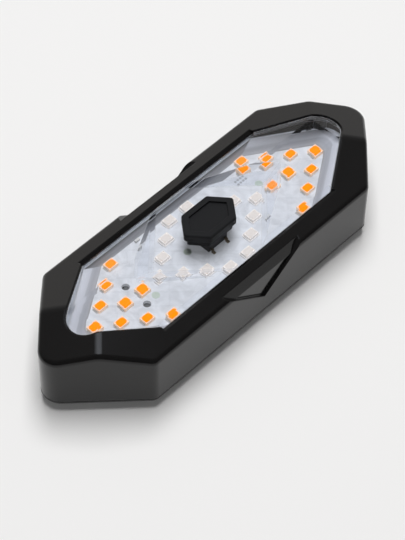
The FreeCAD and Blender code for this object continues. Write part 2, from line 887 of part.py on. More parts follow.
def electronics():
    """Chips and small parts on the underside of the board."""
    keep("controller_chip", hang("chip", s.chip_length, s.chip_width, s.chip_height, s.chip_x, s.chip_y))
    pins = []
    for side in (1, -1):
        for step in (-2, -1, 0, 1, 2):
            pins.append(hang(f"pin_{len(pins) + 1}", s.chip_pin_width, s.chip_pin_reach, s.chip_pin_width,
                             s.chip_x + s.chip_pin_pitch * step,
                             s.chip_y + side * (s.chip_width + s.chip_pin_reach) / 2))
    keep("controller_legs", group("controller_leg_group", pins))
    drivers = [hang(f"driver_{2 - side}", s.driver_side, s.driver_side, s.chip_height, side * s.driver_x,
                    s.driver_y) for side in (1, -1)]
    keep("driver_chips", group("driver_group", drivers))
    keep("crystal", hang("crystal_can", s.crystal_length, s.crystal_width, s.crystal_height, s.chip_x,
                         s.chip_y - s.chip_width))
    resistors = [hang(f"resistor_{step + 4}", s.resistor_length, s.resistor_width, s.resistor_height,
                      s.resistor_pitch * step, s.resistor_y) for step in (-3, -2, -1, 0, 1, 2, 3)]
    keep("resistors", group("resistor_group", resistors))
    capacitors = [hang(f"capacitor_{step + 2}", s.capacitor_length, s.capacitor_width, s.capacitor_height,
                       s.capacitor_pitch * step, -s.capacitor_y) for step in (-1, 0, 1)]
    keep("capacitors", group("capacitor_group", capacitors))
    radio_x = -s.radio_x
    keep("receiver_board", hang("radio_sheet", s.radio_length, s.radio_width, s.radio_sheet, radio_x, 0))
    radio_low = board_low - s.radio_sheet
    can_x = radio_x + (s.radio_length - s.can_length) / 4
    antenna_x = radio_x - s.radio_length / 2 + s.antenna_width
    keep("receiver_can", box("radio_can", s.can_length, s.can_width, s.can_height, can_x, as_size(0),
                             radio_low - s.can_height))
    keep("receiver_antenna", box("radio_antenna", s.antenna_width, s.antenna_length, s.antenna_height,
                                 antenna_x, as_size(0), radio_low - s.antenna_height))


def battery():
    """Flat cell on a foam pad, its guard board, two leads and the plug under the board."""
    keep("battery_pad", box("foam_pad", s.cell_length - s.pad_margin * 2, s.cell_width - s.pad_margin * 2,
                            s.pad_height, as_size(0), as_size(0), cover_top))
    cell_low = cover_top + s.pad_height
    body = new_body("cell_block")
    half_x, half_y = s.cell_length / 2, s.cell_width / 2
    points = [(half_x, half_y), (half_x, -half_y), (-half_x, -half_y), (-half_x, half_y)]
    sketch = polygon_sketch(body, "cell_outline", "XY_Plane", points, cell_low)
    pad(body, "cell_pad", sketch, s.cell_height)
    round_edges(body, "cell_round", lambda edge: is_upright(edge) or abs(edge.CenterOfMass.x) < 0.01,
                s.cell_round)
    keep("battery_cell", body)
    guard_x = half_x + s.guard_sheet / 2
    guard_z = cell_low + (s.cell_height - s.guard_length) / 2
    keep("battery_board", box("guard_sheet", s.guard_sheet, s.cell_width - s.guard_margin * 2,
                              s.guard_length, guard_x, as_size(0), guard_z))
    lead_start = guard_x + s.guard_sheet / 2
    lead_z = guard_z + s.guard_length / 2
    plug_x = lead_start + s.lead_bend + s.plug_length / 2
    plug_low = board_low - s.plug_height * 2
    for name, side in (("battery_lead_plus", 1), ("battery_lead_minus", -1)):
        lead_y = -s.lead_y + side * s.lead_spacing / 2
        keep(name, bent_lead(f"{name}_tube", lead_start, plug_x, lead_y, lead_z, plug_low))
    keep("battery_plug", box("plug_case", s.plug_length, s.plug_width, s.plug_height, plug_x, -s.lead_y,
                             plug_low))
    keep("battery_header", box("header_case", s.plug_length + s.header_margin * 2,
                               s.plug_width + s.header_margin * 2, s.plug_height, plug_x, -s.lead_y,
                               plug_low + s.plug_height))


def bent_lead(name, start_x, end_x, y, low, high):
    """A wire that runs along X, bends up and ends at the plug."""
    x0, x1, z0, z1 = start_x.value, end_x.value, low.value, high.value
    across, bend, radius = y.value, s.lead_bend.value, s.lead_radius.value
    turn = bend * (1 - math.sqrt(0.5))
    knee = Vector(x1 - bend, across, z0)
    shoulder = Vector(x1, across, z0 + bend)
    path = Part.Wire([
        Part.LineSegment(Vector(x0, across, z0), knee).toShape(),
        Part.Arc(knee, Vector(x1 - turn, across, z0 + turn), shoulder).toShape(),
        Part.LineSegment(shoulder, Vector(x1, across, z1)).toShape(),
    ])
    ring = Part.Wire([Part.Circle(Vector(x0, across, z0), Vector(1, 0, 0), radius).toShape()])
    tube = path.makePipeShell([ring], True, False)
    share = tube.Volume / (math.pi * radius ** 2 * path.Length)
    print(f"{name}: volume over section times length {share:.4f}")
    item = doc.addObject("Part::Feature", name)
    item.Shape = tube
    return item


def charging_socket():
    """Metal shell that is open towards the wall, with its contact tongue, and the rubber cover."""
    mid_y = socket_mouth - s.socket_depth / 2
    shell = box("socket_block", s.socket_length, s.socket_depth, s.socket_height, s.socket_x, mid_y,
                socket_low)
    mouth = box("socket_mouth", s.socket_length - s.socket_sheet * 2, s.socket_depth,
                s.socket_height - s.socket_sheet * 2, s.socket_x, mid_y + s.socket_sheet,
                socket_low + s.socket_sheet)
    keep("usb_shell", cut("socket_part", shell, [mouth]))
    tongue_y = socket_mouth - s.socket_depth + s.socket_sheet + s.tongue_depth / 2
    keep("usb_tongue", box("tongue", s.tongue_length, s.tongue_depth, s.tongue_height, s.socket_x, tongue_y,
                           socket_mid - s.tongue_height / 2))


def usb_cover():
    """Rubber flap with a round knuckle along its lower edge and a short plug inside."""
    leaf = new_body("flap_leaf")
    half = s.flap_length / 2
    high = flap_low + s.flap_height
    points = [(s.socket_x + half, hinge_z), (s.socket_x + half, high), (s.socket_x - half, high),
              (s.socket_x - half, hinge_z)]
    sketch = polygon_sketch(leaf, "flap_outline", "XZ_Plane", points, -flap_in)
    pad(leaf, "flap_pad", sketch, s.flap_sheet, backwards=True)
    round_edges(leaf, "flap_corners", lambda edge: abs(edge.tangentAt(edge.FirstParameter).y) > 0.999
                and edge.CenterOfMass.z > high.value - 0.01, s.flap_corner)
    knuckle = rod("flap_knuckle_rod", s.flap_knuckle, s.flap_length, s.socket_x - half, hinge_y, hinge_z)
    knuckle.Placement.Rotation = Rotation(Vector(0, 1, 0), 90)
    plug = box("flap_plug", s.flap_plug_length, s.flap_plug_depth * 2, s.flap_plug_height, s.socket_x,
               flap_in, socket_mid - s.flap_plug_height / 2)
    return keep("usb_cover", fuse("flap_part", [leaf, knuckle, plug]))


def case_seal():
    """A thin seal between the shell's rim and the back cover."""
    outer = prism("seal_outer", body_outline(s.rim_chamfer), rim_top, shell_low,
                  s.tip_round - s.rim_chamfer)
    inner = prism("seal_inner", body_outline(s.wall), rim_top - s.wall, shell_low + s.wall,
                  s.tip_round - s.wall)
    return keep("case_seal", cut("seal_part", outer, [inner]))


def back_cover():
    """Cover that closes the shell, with a raised plate that takes the bracket in a T-shaped slot."""
    rim = prism("cover_rim", body_outline(), s.plate_height, rim_top, s.tip_round, s.corner_round)
    round_edges(rim, "cover_rim_edge", lambda edge: edge.BoundBox.ZMax < s.plate_height.value + 0.01,
                s.rim_chamfer, "Chamfer")
    fit = s.wall + s.cover_fit
    sheet = prism("cover_sheet", body_outline(fit), s.plate_height, cover_top + s.lip_height,
                  s.tip_round - fit)
    lip_hole = prism("cover_lip_hole", body_outline(fit + s.lip_wall), cover_top,
                     cover_top + s.lip_height * 2, s.tip_round - fit - s.lip_wall)
    pieces = [rim, cut("cover_sheet_lip", sheet, [lip_hole]), raised_plate(), battery_bay()]
    boss_rods = rods_at_bosses("cover_boss", s.cover_boss_radius, s.plate_height + s.rim_chamfer,
                               cover_top + s.cover_boss_height)
    pieces.append(common("cover_bosses", [fuse("cover_boss_rods", boss_rods), sheet]))
    for number, (sx, sy) in enumerate([(1, 1), (1, -1), (-1, 1), (-1, -1)], start=1):
        pieces.append(rod(f"post_{number}", s.post_radius, board_low - rim_top, sx * s.post_x,
                          sy * s.post_y, rim_top))
    tools = slot_tools()
    tools += rods_at_bosses("head_hole", s.head_radius + s.head_clearance, s.plate_height - s.wall,
                            s.plate_height + s.head_sunk + s.head_height)
    tools += rods_at_bosses("screw_hole", s.screw_radius + s.screw_clearance, s.plate_height - s.wall,
                            boss_low + s.wall)
    for side in (1, -1):
        for part, middle in (("inner", s.hollow_inner_x), ("outer", s.hollow_outer_x)):
            tools.append(box(f"cover_hollow_{part}_{2 - side}", s.hollow_length, s.hollow_half * 2,
                             cover_top - s.hollow_floor, side * middle, as_size(0), s.hollow_floor))
    return keep("back_cover", cut("cover_part", fuse("cover_block", pieces), tools))


def raised_plate():
    """The part of the cover that stands out and takes the bracket."""
    body = new_body("raised_plate")
    points = [(s.plate_reach, s.plate_half), (s.plate_reach, -s.plate_half),
              (-s.plate_reach, -s.plate_half), (-s.plate_reach, s.plate_half)]
    sketch = polygon_sketch(body, "raised_plate_outline", "XY_Plane", points)
    pad(body, "raised_plate_pad", sketch, rim_top)
    round_edges(body, "raised_plate_corners", is_upright, s.plate_round)
    round_edges(body, "raised_plate_edge", lambda edge: edge.BoundBox.ZMax < 0.01, s.plate_edge)
    return body


def battery_bay():
    """Low wall that holds the cell in place."""
    length = s.cell_length + s.bay_clearance * 2
    width = s.cell_width + s.bay_clearance * 2
    outer = box("bay_outer", length + (s.guard_sheet + s.bay_wall) * 2, width + s.bay_wall * 2,
                s.bay_height + s.rim_chamfer, as_size(0), as_size(0), cover_top - s.rim_chamfer)
    inner = box("bay_inner", length + s.guard_sheet * 2, width, s.bay_height * 2, as_size(0), as_size(0),
                cover_top - s.rim_chamfer * 2)
    lead_gap = box("bay_gap", s.cell_length, s.plug_width + s.bay_wall, s.bay_height * 2, s.cell_length / 2,
                   -s.lead_y, cover_top + s.bay_wall)
    return cut("battery_bay", outer, [inner, lead_gap])


def slot_tools():
    """Pocket that the bracket's head enters, the T-shaped slot it slides along, and a latch notch."""
    entry = box("slot_entry", s.slot_head * 2, s.slot_end, s.slot_depth + s.wall, as_size(0),
                s.slot_end / 2, -s.wall)
    neck = box("slot_neck", s.slot_neck * 2, s.slot_end * 2, s.slot_depth + s.wall, as_size(0), as_size(0),
               -s.wall)
    head = box("slot_head", s.slot_head * 2, s.slot_end * 2, s.slot_depth - s.slot_lip, as_size(0),
               as_size(0), s.slot_lip)
    notch = box("latch_notch", s.latch_length, s.latch_width, s.latch_depth, as_size(0), -s.latch_y,
                s.slot_depth)
    return [entry, neck, head, notch]


def back_screws():
    """Four screws that go through the cover into the shell's bosses."""
    screws = []
    head_low = s.plate_height + s.head_sunk
    for number, (x, y) in enumerate(boss_places(), start=1):
        head = rod(f"screw_head_{number}", s.head_radius, s.head_height, x, y, head_low)
        shank = rod(f"screw_shank_{number}", s.screw_radius, s.screw_length, x, y, head_low + s.head_height)
        cross = [box(f"cross_long_{number}", s.cross_length, s.cross_width, s.cross_depth, x, y, head_low),
                 box(f"cross_short_{number}", s.cross_width, s.cross_length, s.cross_depth, x, y, head_low)]
        screws.append(cut(f"screw_{number}", fuse(f"screw_block_{number}", [head, shank]), cross))
    return keep("back_screws", group("screw_group", screws))


front_shell()
lens()
lens_gasket()
button_cap()
button_collar()
push_switch()
led_board()
emitters()
electronics()
battery()
charging_socket()
usb_cover()
case_seal()
back_cover()
back_screws()
doc.recompute()

faults = [item.Label for item in doc.Objects if {"Invalid", "Error"} & set(item.State)]
for name, item in nodes.items():
    if item.Shape.isNull() or not item.Shape.isValid():
        faults.append(name)
if faults:
    raise RuntimeError(f"failed objects: {faults}")
os.makedirs("parts", exist_ok=True)
for name, item in nodes.items():
    item.Shape.exportStep(f"parts/{name}.step")
    print(f"{name}: {len(item.Shape.Solids)} solids, {item.Shape.Volume:.1f} mm3")
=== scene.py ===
# %% [markdown]
# This scene shows a turn signal light for a bicycle.
# The lamp lies on its back: a long black hexagonal case, a clear faceted window, a white board
# with amber arrows and a ring of pale emitters, and a black push button in the middle.
# Its solids come from the imported CAD model, so each piece is already in place and in metres.
# This scene gives them their finishes and adds the small things that CAD leaves out.

# %% Load the imported lamp
import math

import bmesh
import bpy
from mathutils import Matrix, Vector


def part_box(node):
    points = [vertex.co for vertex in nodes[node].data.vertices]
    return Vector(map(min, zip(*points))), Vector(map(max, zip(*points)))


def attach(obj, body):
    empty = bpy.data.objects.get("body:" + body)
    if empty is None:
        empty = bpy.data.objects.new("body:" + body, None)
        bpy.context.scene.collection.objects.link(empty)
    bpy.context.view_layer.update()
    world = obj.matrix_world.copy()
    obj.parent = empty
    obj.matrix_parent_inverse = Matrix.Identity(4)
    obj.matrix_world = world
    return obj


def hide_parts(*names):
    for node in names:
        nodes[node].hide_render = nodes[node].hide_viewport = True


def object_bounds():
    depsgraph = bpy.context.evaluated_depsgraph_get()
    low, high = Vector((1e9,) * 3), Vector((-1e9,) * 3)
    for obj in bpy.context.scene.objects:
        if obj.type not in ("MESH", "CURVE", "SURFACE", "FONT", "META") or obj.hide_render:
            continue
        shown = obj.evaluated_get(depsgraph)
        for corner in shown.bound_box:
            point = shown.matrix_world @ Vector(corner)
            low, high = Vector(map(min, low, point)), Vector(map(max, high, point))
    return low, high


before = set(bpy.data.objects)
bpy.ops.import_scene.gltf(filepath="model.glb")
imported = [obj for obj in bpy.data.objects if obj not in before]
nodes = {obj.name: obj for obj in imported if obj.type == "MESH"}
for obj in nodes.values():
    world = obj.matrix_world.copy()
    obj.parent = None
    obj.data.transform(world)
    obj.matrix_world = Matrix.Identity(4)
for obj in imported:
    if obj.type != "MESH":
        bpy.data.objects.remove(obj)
cad_low, cad_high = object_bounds()
bpy.context.scene.view_settings.view_transform = "Standard"
MM = 0.001
print("nodes:", len(nodes), "size in mm:", [round(v / MM, 1) for v in cad_high - cad_low])


# %% [markdown]
# The photograph looks down on the lamp at 51 degrees from its near left. Straight edges that are
# parallel on the case hardly draw together, so the lens is long. A camera can be aimed by eye, but
# on an object with such long edges half a degree shows. So the angles, the distance and the focal
# length come from fitting the case's edges, and the picture's slight tilt is the roll.

# %% Camera at the photograph's angle
CAMERA_AZIMUTH = math.radians(-47.15)
CAMERA_ELEVATION = math.radians(51.43)
CAMERA_ROLL = math.radians(1.09)
CAMERA_TARGET = Vector((-11.94, -9.0, 21.6)) * MM
CAMERA_DISTANCE = 593 * MM
CAMERA_LENS = 139.5
SENSOR_WIDTH = 36


def look_from(azimuth, elevation, roll, target, distance, focal):
    """A camera turned round the target; the roll tilts the picture."""
    back = Vector((math.sin(azimuth) * math.cos(elevation), -math.cos(azimuth) * math.cos(elevation),
                   math.sin(elevation)))
    across = Vector((math.cos(azimuth), math.sin(azimuth), 0))
    up = back.cross(across)
    right = across * math.cos(roll) + up * math.sin(roll)
    up = up * math.cos(roll) - across * math.sin(roll)
    data = bpy.data.cameras.new("camera")
    data.sensor_fit = "AUTO"
    data.sensor_width = SENSOR_WIDTH
    data.lens = focal
    data.clip_start = 0.01
    data.clip_end = 20
    made = bpy.data.objects.new("camera", data)
    bpy.context.scene.collection.objects.link(made)
    place = target + back * distance
    made.matrix_world = Matrix((
        (right.x, up.x, back.x, place.x),
        (right.y, up.y, back.y, place.y),
        (right.z, up.z, back.z, place.z),
        (0, 0, 0, 1),
    ))
    bpy.context.scene.camera = made
    return made


camera = look_from(CAMERA_AZIMUTH, CAMERA_ELEVATION, CAMERA_ROLL, CAMERA_TARGET, CAMERA_DISTANCE,
                   CAMERA_LENS)
print("camera at", [round(v, 4) for v in camera.matrix_world.translation])


# %% [markdown]
# The lamp lies on plain pale paper. A curved studio sweep would need a shape of its own; from
# this height the camera never sees an edge, so one large flat plane does the same. It lies a hair
# under the case, so that the two faces don't flicker into each other.

# %% Floor plane
FLOOR_SIDE = 6.0
FLOOR_GAP = 0.00005

bpy.ops.object.select_all(action="DESELECT")
bpy.ops.mesh.primitive_plane_add(size=FLOOR_SIDE, location=(0, 0, cad_low.z - FLOOR_GAP))
floor = bpy.context.object
floor.name = "floor"
print("floor at", floor.location.z)


# %% [markdown]
# Every finish below is a small tree of nodes. These helpers start a material, set its sockets
# by their names, add a node and join two of them, so that each finish reads as a short list.
# Shaders are mixed by a share that can come from the kind of ray, so that has a helper too.

# %% Helpers for materials
def colour(red, green, blue):
    return (red, green, blue, 1.0)


def grey(value):
    return colour(value, value, value)


def new_material(name):
    """An empty node material; returns it, its node tree and its Principled shader."""
    material = bpy.data.materials.new(name)
    material.use_nodes = True
    tree = material.node_tree
    return material, tree, tree.nodes["Principled BSDF"]


def set_sockets(node, **values):
    """Set input sockets by their names, with underscores for spaces."""
    for name, value in values.items():
        node.inputs[name.replace("_", " ")].default_value = value


def add_node(tree, kind, **settings):
    node = tree.nodes.new(kind)
    for name, value in settings.items():
        setattr(node, name, value)
    return node


def math_node(tree, operation, second):
    """A Math node whose second value is fixed."""
    node = add_node(tree, "ShaderNodeMath", operation=operation)
    node.inputs[1].default_value = second
    return node


def link(tree, source, output, target, socket):
    tree.links.new(source.outputs[output], target.inputs[socket])


def mix_shaders(tree, share, first, second):
    """Turn from the first shader to the second as the share goes from 0 to 1; all are outputs."""
    mix = add_node(tree, "ShaderNodeMixShader")
    tree.links.new(share, mix.inputs["Fac"])
    tree.links.new(first, mix.inputs[1])
    tree.links.new(second, mix.inputs[2])
    return mix.outputs["Shader"]


print("grey(0.5) is", grey(0.5))


# %% [markdown]
# The lamp lies on matt white paper, which alone comes out uneven under a soft light. More light
# would bleach the lamp, so through a Light Path node the camera and the gloss of the case see a
# share of plain paper colour instead, and the shadow stays. Seen from below, the paper is clear:
# then the back of the lamp can be looked at too.

# %% Pale paper
CAMERA_SHARE = 0.06
MIRROR_SHARE = 0.4

floor_material, tree, shader = new_material("pale paper floor")
set_sockets(shader, Base_Color=colour(0.90, 0.895, 0.89), Roughness=0.9, Specular_IOR_Level=0.2)
paper = add_node(tree, "ShaderNodeEmission")
set_sockets(paper, Color=grey(0.865), Strength=1.0)
ray = add_node(tree, "ShaderNodeLightPath")
seen = math_node(tree, "MULTIPLY", CAMERA_SHARE)
mirrored = math_node(tree, "MULTIPLY_ADD", MIRROR_SHARE)
sides = add_node(tree, "ShaderNodeNewGeometry")
nothing = add_node(tree, "ShaderNodeBsdfTransparent")
link(tree, ray, "Is Camera Ray", seen, 0)
link(tree, ray, "Is Glossy Ray", mirrored, 0)
link(tree, seen, 0, mirrored, 2)
upper_side = mix_shaders(tree, mirrored.outputs[0], shader.outputs["BSDF"], paper.outputs["Emission"])
one_sided = mix_shaders(tree, sides.outputs["Backfacing"], upper_side, nothing.outputs["BSDF"])
tree.links.new(one_sided, tree.nodes["Material Output"].inputs["Surface"])
floor.data.materials.append(floor_material)
print("floor material:", floor_material.name)


# %% [markdown]
# The black case is a mirror: what it shows is the room. Its far side shows something pale, its
# near side something dark, and its walls show the pale floor. Real panels could stand round the
# lamp, but the world can show the same room with less: a colour ramp along a level direction that
# leads away from the camera. A pale pane hangs almost overhead, in the direction that the rounded
# crease near the tip mirrors, for the glint there.

# %% Room for the reflections
AWAY = (0.6, 0.8, 0.0)
PANE_DIRECTION = (0.165, 0.12, 0.979)
PANE_RIM = math.cos(math.radians(18))
PANE_MIDDLE = math.cos(math.radians(7))
PANE_COLOUR = colour(2.5, 2.65, 2.9)
ROOM_STEPS = ((0.42, colour(0.01, 0.01, 0.012)), (0.60, grey(0.13)), (0.68, grey(0.16)),
              (0.80, grey(0.26)), (0.90, grey(0.55)), (0.93, colour(0.72, 0.70, 0.68)))


def along(tree, axis):
    """A node that measures how far a direction points along the axis."""
    node = add_node(tree, "ShaderNodeVectorMath", operation="DOT_PRODUCT")
    node.inputs[1].default_value = axis
    return node


def set_ramp(node, steps):
    """Give a colour ramp its steps, each a place and a colour, in order."""
    ramp = node.color_ramp
    for end, (place, tone) in ((0, steps[0]), (1, steps[-1])):
        ramp.elements[end].position = place
        ramp.elements[end].color = tone
    for place, tone in steps[1:-1]:
        ramp.elements.new(place).color = tone


world = bpy.data.worlds.new("studio")
bpy.context.scene.world = world
world.use_nodes = True
tree = world.node_tree
tree.nodes.clear()
where = add_node(tree, "ShaderNodeTexCoord")
behind = along(tree, AWAY)
share = add_node(tree, "ShaderNodeMapRange")
set_sockets(share, From_Min=-1.0, From_Max=1.0)
walls = add_node(tree, "ShaderNodeValToRGB")
set_ramp(walls, ROOM_STEPS)
overhead = along(tree, PANE_DIRECTION)
pane = add_node(tree, "ShaderNodeMapRange")
set_sockets(pane, From_Min=PANE_RIM, From_Max=PANE_MIDDLE)
room_colour = add_node(tree, "ShaderNodeMix", data_type="RGBA")
set_sockets(room_colour, B=PANE_COLOUR)
room = add_node(tree, "ShaderNodeBackground")
link(tree, where, "Generated", behind, 0)
link(tree, behind, "Value", share, "Value")
link(tree, share, "Result", walls, "Fac")
link(tree, where, "Generated", overhead, 0)
link(tree, overhead, "Value", pane, "Value")
link(tree, pane, "Result", room_colour, "Factor")
link(tree, walls, "Color", room_colour, "A")
link(tree, room_colour, "Result", room, "Color")
print("steps of the room's colour:", len(ROOM_STEPS))


# %% [markdown]
# Only gloss on the outside of the lamp mirrors this room. Inside the window its dark half would
# blacken the view of the board, so there, and for the light that falls on surfaces, the world is
# a dim plain grey. The camera sees a pale backdrop. A second world isn't possible, so the kind of
# ray picks one of three backgrounds.

# %% Who sees the room
BEFORE_THE_WINDOW = 0.5

plain = add_node(tree, "ShaderNodeBackground")
set_sockets(plain, Color=grey(0.9), Strength=0.15)
backdrop = add_node(tree, "ShaderNodeBackground")
set_sockets(backdrop, Color=grey(0.86), Strength=1.0)
ray = add_node(tree, "ShaderNodeLightPath")
outside = math_node(tree, "LESS_THAN", BEFORE_THE_WINDOW)
mirror = add_node(tree, "ShaderNodeMath", operation="MULTIPLY")
out = add_node(tree, "ShaderNodeOutputWorld")
link(tree, ray, "Transmission Depth", outside, 0)
link(tree, ray, "Is Glossy Ray", mirror, 0)
link(tree, outside, 0, mirror, 1)
lit = mix_shaders(tree, mirror.outputs[0], plain.outputs[0], room.outputs[0])
behind_all = mix_shaders(tree, ray.outputs["Is Camera Ray"], lit, backdrop.outputs[0])
tree.links.new(behind_all, out.inputs["Surface"])
print("world:", world.name, "nodes:", len(tree.nodes))


# %% [markdown]
# The photograph's shadow is short, soft and falls towards the camera, so one wide lamp stands
# behind the object and high up. A sun or a point lamp would give a hard edge. Reflections don't
# see this lamp, because the room above already gives the case what it mirrors.

# %% Main lamp
LAMP_PLACE = Vector((0.11, 0.10, 1.15))
LAMP_AIM = Vector((0, 0, 0.01))
LAMP_WIDTH = 0.45
LAMP_LENGTH = 0.95
LAMP_POWER = 13.0

data = bpy.data.lights.new("main lamp", "AREA")
data.shape = "RECTANGLE"
data.size = LAMP_WIDTH
data.size_y = LAMP_LENGTH
data.energy = LAMP_POWER
lamp = bpy.data.objects.new("main lamp", data)
bpy.context.scene.collection.objects.link(lamp)
lamp.location = LAMP_PLACE
lamp.rotation_euler = (LAMP_AIM - LAMP_PLACE).to_track_quat("-Z", "Y").to_euler()
lamp.visible_glossy = False
lamp.visible_camera = False
lamp.visible_transmission = False


# %% [markdown]
# Almost every surface of the lamp is moulded plastic. Up close such a surface is never one flat
# colour: it has a faint ripple from the mould, a little dust and small changes of gloss. That is
# one effect with different strengths, so it is built once as a node group and not again in each
# material: large clouds change colour and gloss, and a fine grain gives the relief.

# %% Group: moulded surface
NUMBER = "NodeSocketFloat"
COLOUR = "NodeSocketColor"


def new_group(name, inputs, outputs):
    """A shader node group with named sockets; returns the tree and its two end nodes."""
    group = bpy.data.node_groups.new(name, "ShaderNodeTree")
    for socket, kind, value in inputs:
        made = group.interface.new_socket(name=socket, in_out="INPUT", socket_type=kind)
        made.default_value = value
    for socket, kind in outputs:
        group.interface.new_socket(name=socket, in_out="OUTPUT", socket_type=kind)
    return group, group.nodes.new("NodeGroupInput"), group.nodes.new("NodeGroupOutput")


moulded, start, end = new_group(
    "moulded surface",
    [("Colour", COLOUR, grey(0.5)), ("Cloud Colour", COLOUR, grey(0.5)),
     ("Cloud Scale", NUMBER, 60.0), ("Grain Scale", NUMBER, 900.0),
     ("Roughness Low", NUMBER, 0.3), ("Roughness High", NUMBER, 0.4), ("Grain", NUMBER, 0.5)],
    [("Colour", COLOUR), ("Roughness", NUMBER), ("Height", NUMBER)])
where = add_node(moulded, "ShaderNodeTexCoord")
cloud = add_node(moulded, "ShaderNodeTexNoise")
set_sockets(cloud, Detail=4.0, Roughness=0.55)
grain = add_node(moulded, "ShaderNodeTexNoise")
set_sockets(grain, Detail=2.0, Roughness=0.5)
tint = add_node(moulded, "ShaderNodeMix", data_type="RGBA")
gloss = add_node(moulded, "ShaderNodeMapRange")
set_sockets(gloss, From_Min=0.3, From_Max=0.7)
lift = add_node(moulded, "ShaderNodeMath", operation="MULTIPLY")
link(moulded, where, "Object", cloud, "Vector")
link(moulded, where, "Object", grain, "Vector")
link(moulded, start, "Cloud Scale", cloud, "Scale")
link(moulded, start, "Grain Scale", grain, "Scale")
link(moulded, cloud, "Fac", tint, "Factor")
link(moulded, start, "Colour", tint, "A")
link(moulded, start, "Cloud Colour", tint, "B")
link(moulded, cloud, "Fac", gloss, "Value")
link(moulded, start, "Roughness Low", gloss, "To Min")
link(moulded, start, "Roughness High", gloss, "To Max")
link(moulded, grain, "Fac", lift, 0)
link(moulded, start, "Grain", lift, 1)
link(moulded, tint, "Result", end, "Colour")
link(moulded, gloss, "Result", end, "Roughness")
link(moulded, lift, "Value", end, "Height")
print("group:", moulded.name, "nodes:", len(moulded.nodes))


# %% [markdown]
# The case is polished black, the back cover has a fine spark texture, and the button is satin.
# A moulded edge is never quite sharp, and a sharp one would show no light at all on black. It
# could be rounded in the mesh, but the CAD solids stay as they are, so a Bevel node rounds only
# the normals that the gloss uses.

# %% Black case, cover and button
def moulded_material(name, base, cloud_base, rough, cloud_scale=60.0, grain_scale=900.0, grain=0.5,
                     relief=0.00004, soft_edge=0.0, **sockets):
    """A plastic whose colour, gloss and fine relief come from the moulded surface group.

    The relief is in metres, and so is soft_edge, the radius that the gloss shows at an edge.
    """
    material, tree, shader = new_material(name)
    effect = add_node(tree, "ShaderNodeGroup", node_tree=moulded)
    set_sockets(effect, Colour=colour(*base), Cloud_Colour=colour(*cloud_base), Cloud_Scale=cloud_scale,
                Grain_Scale=grain_scale, Roughness_Low=rough[0], Roughness_High=rough[1], Grain=grain)
    bump = add_node(tree, "ShaderNodeBump")
    set_sockets(bump, Strength=1.0, Distance=relief)
    set_sockets(shader, **sockets)
    link(tree, effect, "Colour", shader, "Base Color")
    link(tree, effect, "Roughness", shader, "Roughness")
    link(tree, effect, "Height", bump, "Height")
    link(tree, bump, "Normal", shader, "Normal")
    if soft_edge:
        edge = add_node(tree, "ShaderNodeBevel", samples=6)
        set_sockets(edge, Radius=soft_edge)
        link(tree, edge, "Normal", bump, "Normal")
    return material


def finish_nodes(material, *names):
    """Give CAD nodes one material in place of the one they came with."""
    for name in names:
        slots = nodes[name].data.materials
        slots.clear()
        slots.append(material)
    print(material.name, "on", ", ".join(names))


finish_nodes(moulded_material(
    "gloss black case", (0.0075, 0.0070, 0.0070), (0.0105, 0.0100, 0.0100), (0.11, 0.17),
    cloud_scale=35.0, grain_scale=420.0, grain=0.5, relief=0.000012, soft_edge=0.0004,
    Specular_IOR_Level=0.34), "front_shell")
finish_nodes(moulded_material(
    "textured black cover", (0.016, 0.016, 0.017), (0.021, 0.021, 0.022), (0.48, 0.62),
    grain_scale=2600.0, grain=1.0, relief=0.00006), "back_cover")
finish_nodes(moulded_material(
    "satin black button", (0.012, 0.0122, 0.0132), (0.016, 0.0163, 0.0175), (0.42, 0.5),
    grain_scale=2400.0, grain=0.7, relief=0.00003, soft_edge=0.0003, Specular_IOR_Level=0.14),
    "button_cap", "button_collar")


# %% [markdown]
# The seals and the socket's flap are matt black rubber, and the battery rests on grey foam. Real
# foam has open cells; it is hidden inside, so a strong grain is enough and no mesh is spent on it.

# %% Rubber and foam
finish_nodes(moulded_material(
    "black rubber", (0.012, 0.012, 0.012), (0.020, 0.020, 0.019), (0.62, 0.8),
    grain_scale=1800.0, relief=0.00004), "lens_gasket", "case_seal", "usb_cover")
finish_nodes(moulded_material(
    "grey foam", (0.05, 0.05, 0.053), (0.08, 0.08, 0.083), (0.85, 0.95),
    grain_scale=1500.0, grain=1.0, relief=0.0002), "battery_pad")


# %% [markdown]
# The light emitters have pale moulded cases. Light goes a little way into such plastic, and the
# amber resin colours its own case from inside. Subsurface scattering would do that at the cost of
# noise on pieces a few millimetres wide, so painted light stands for it: a weak glow of the right
# colour, which also lifts the shade on the cases' sides, and for the arrows a warmer base colour.

# %% Emitter cases
# The pale case's weak glow is painted light that lifts the shade on its sides.
led_case = moulded_material(
    "pale emitter case with painted light", (0.82, 0.79, 0.76), (0.88, 0.85, 0.83), (0.35, 0.5), cloud_scale=300.0,
    Emission_Color=colour(0.95, 0.88, 0.84), Emission_Strength=0.22)
# The warm tint and the glow of the arrows' cases are painted light from the amber resin.
warm_case = moulded_material(
    "emitter case with painted amber light", (0.88, 0.68, 0.52), (0.92, 0.76, 0.62), (0.35, 0.5), cloud_scale=300.0,
    Emission_Color=colour(1.0, 0.66, 0.44), Emission_Strength=0.26)
finish_nodes(led_case, "ring_leds")
finish_nodes(warm_case, "amber_leds_left", "amber_leds_right")


# %% [markdown]
# The push switch, the chips, the resistors, the capacitors and the battery's plug and leads are
# seen small or not at all. Each could have a look of its own, but the moulded surface with the
# right colour and gloss is enough.

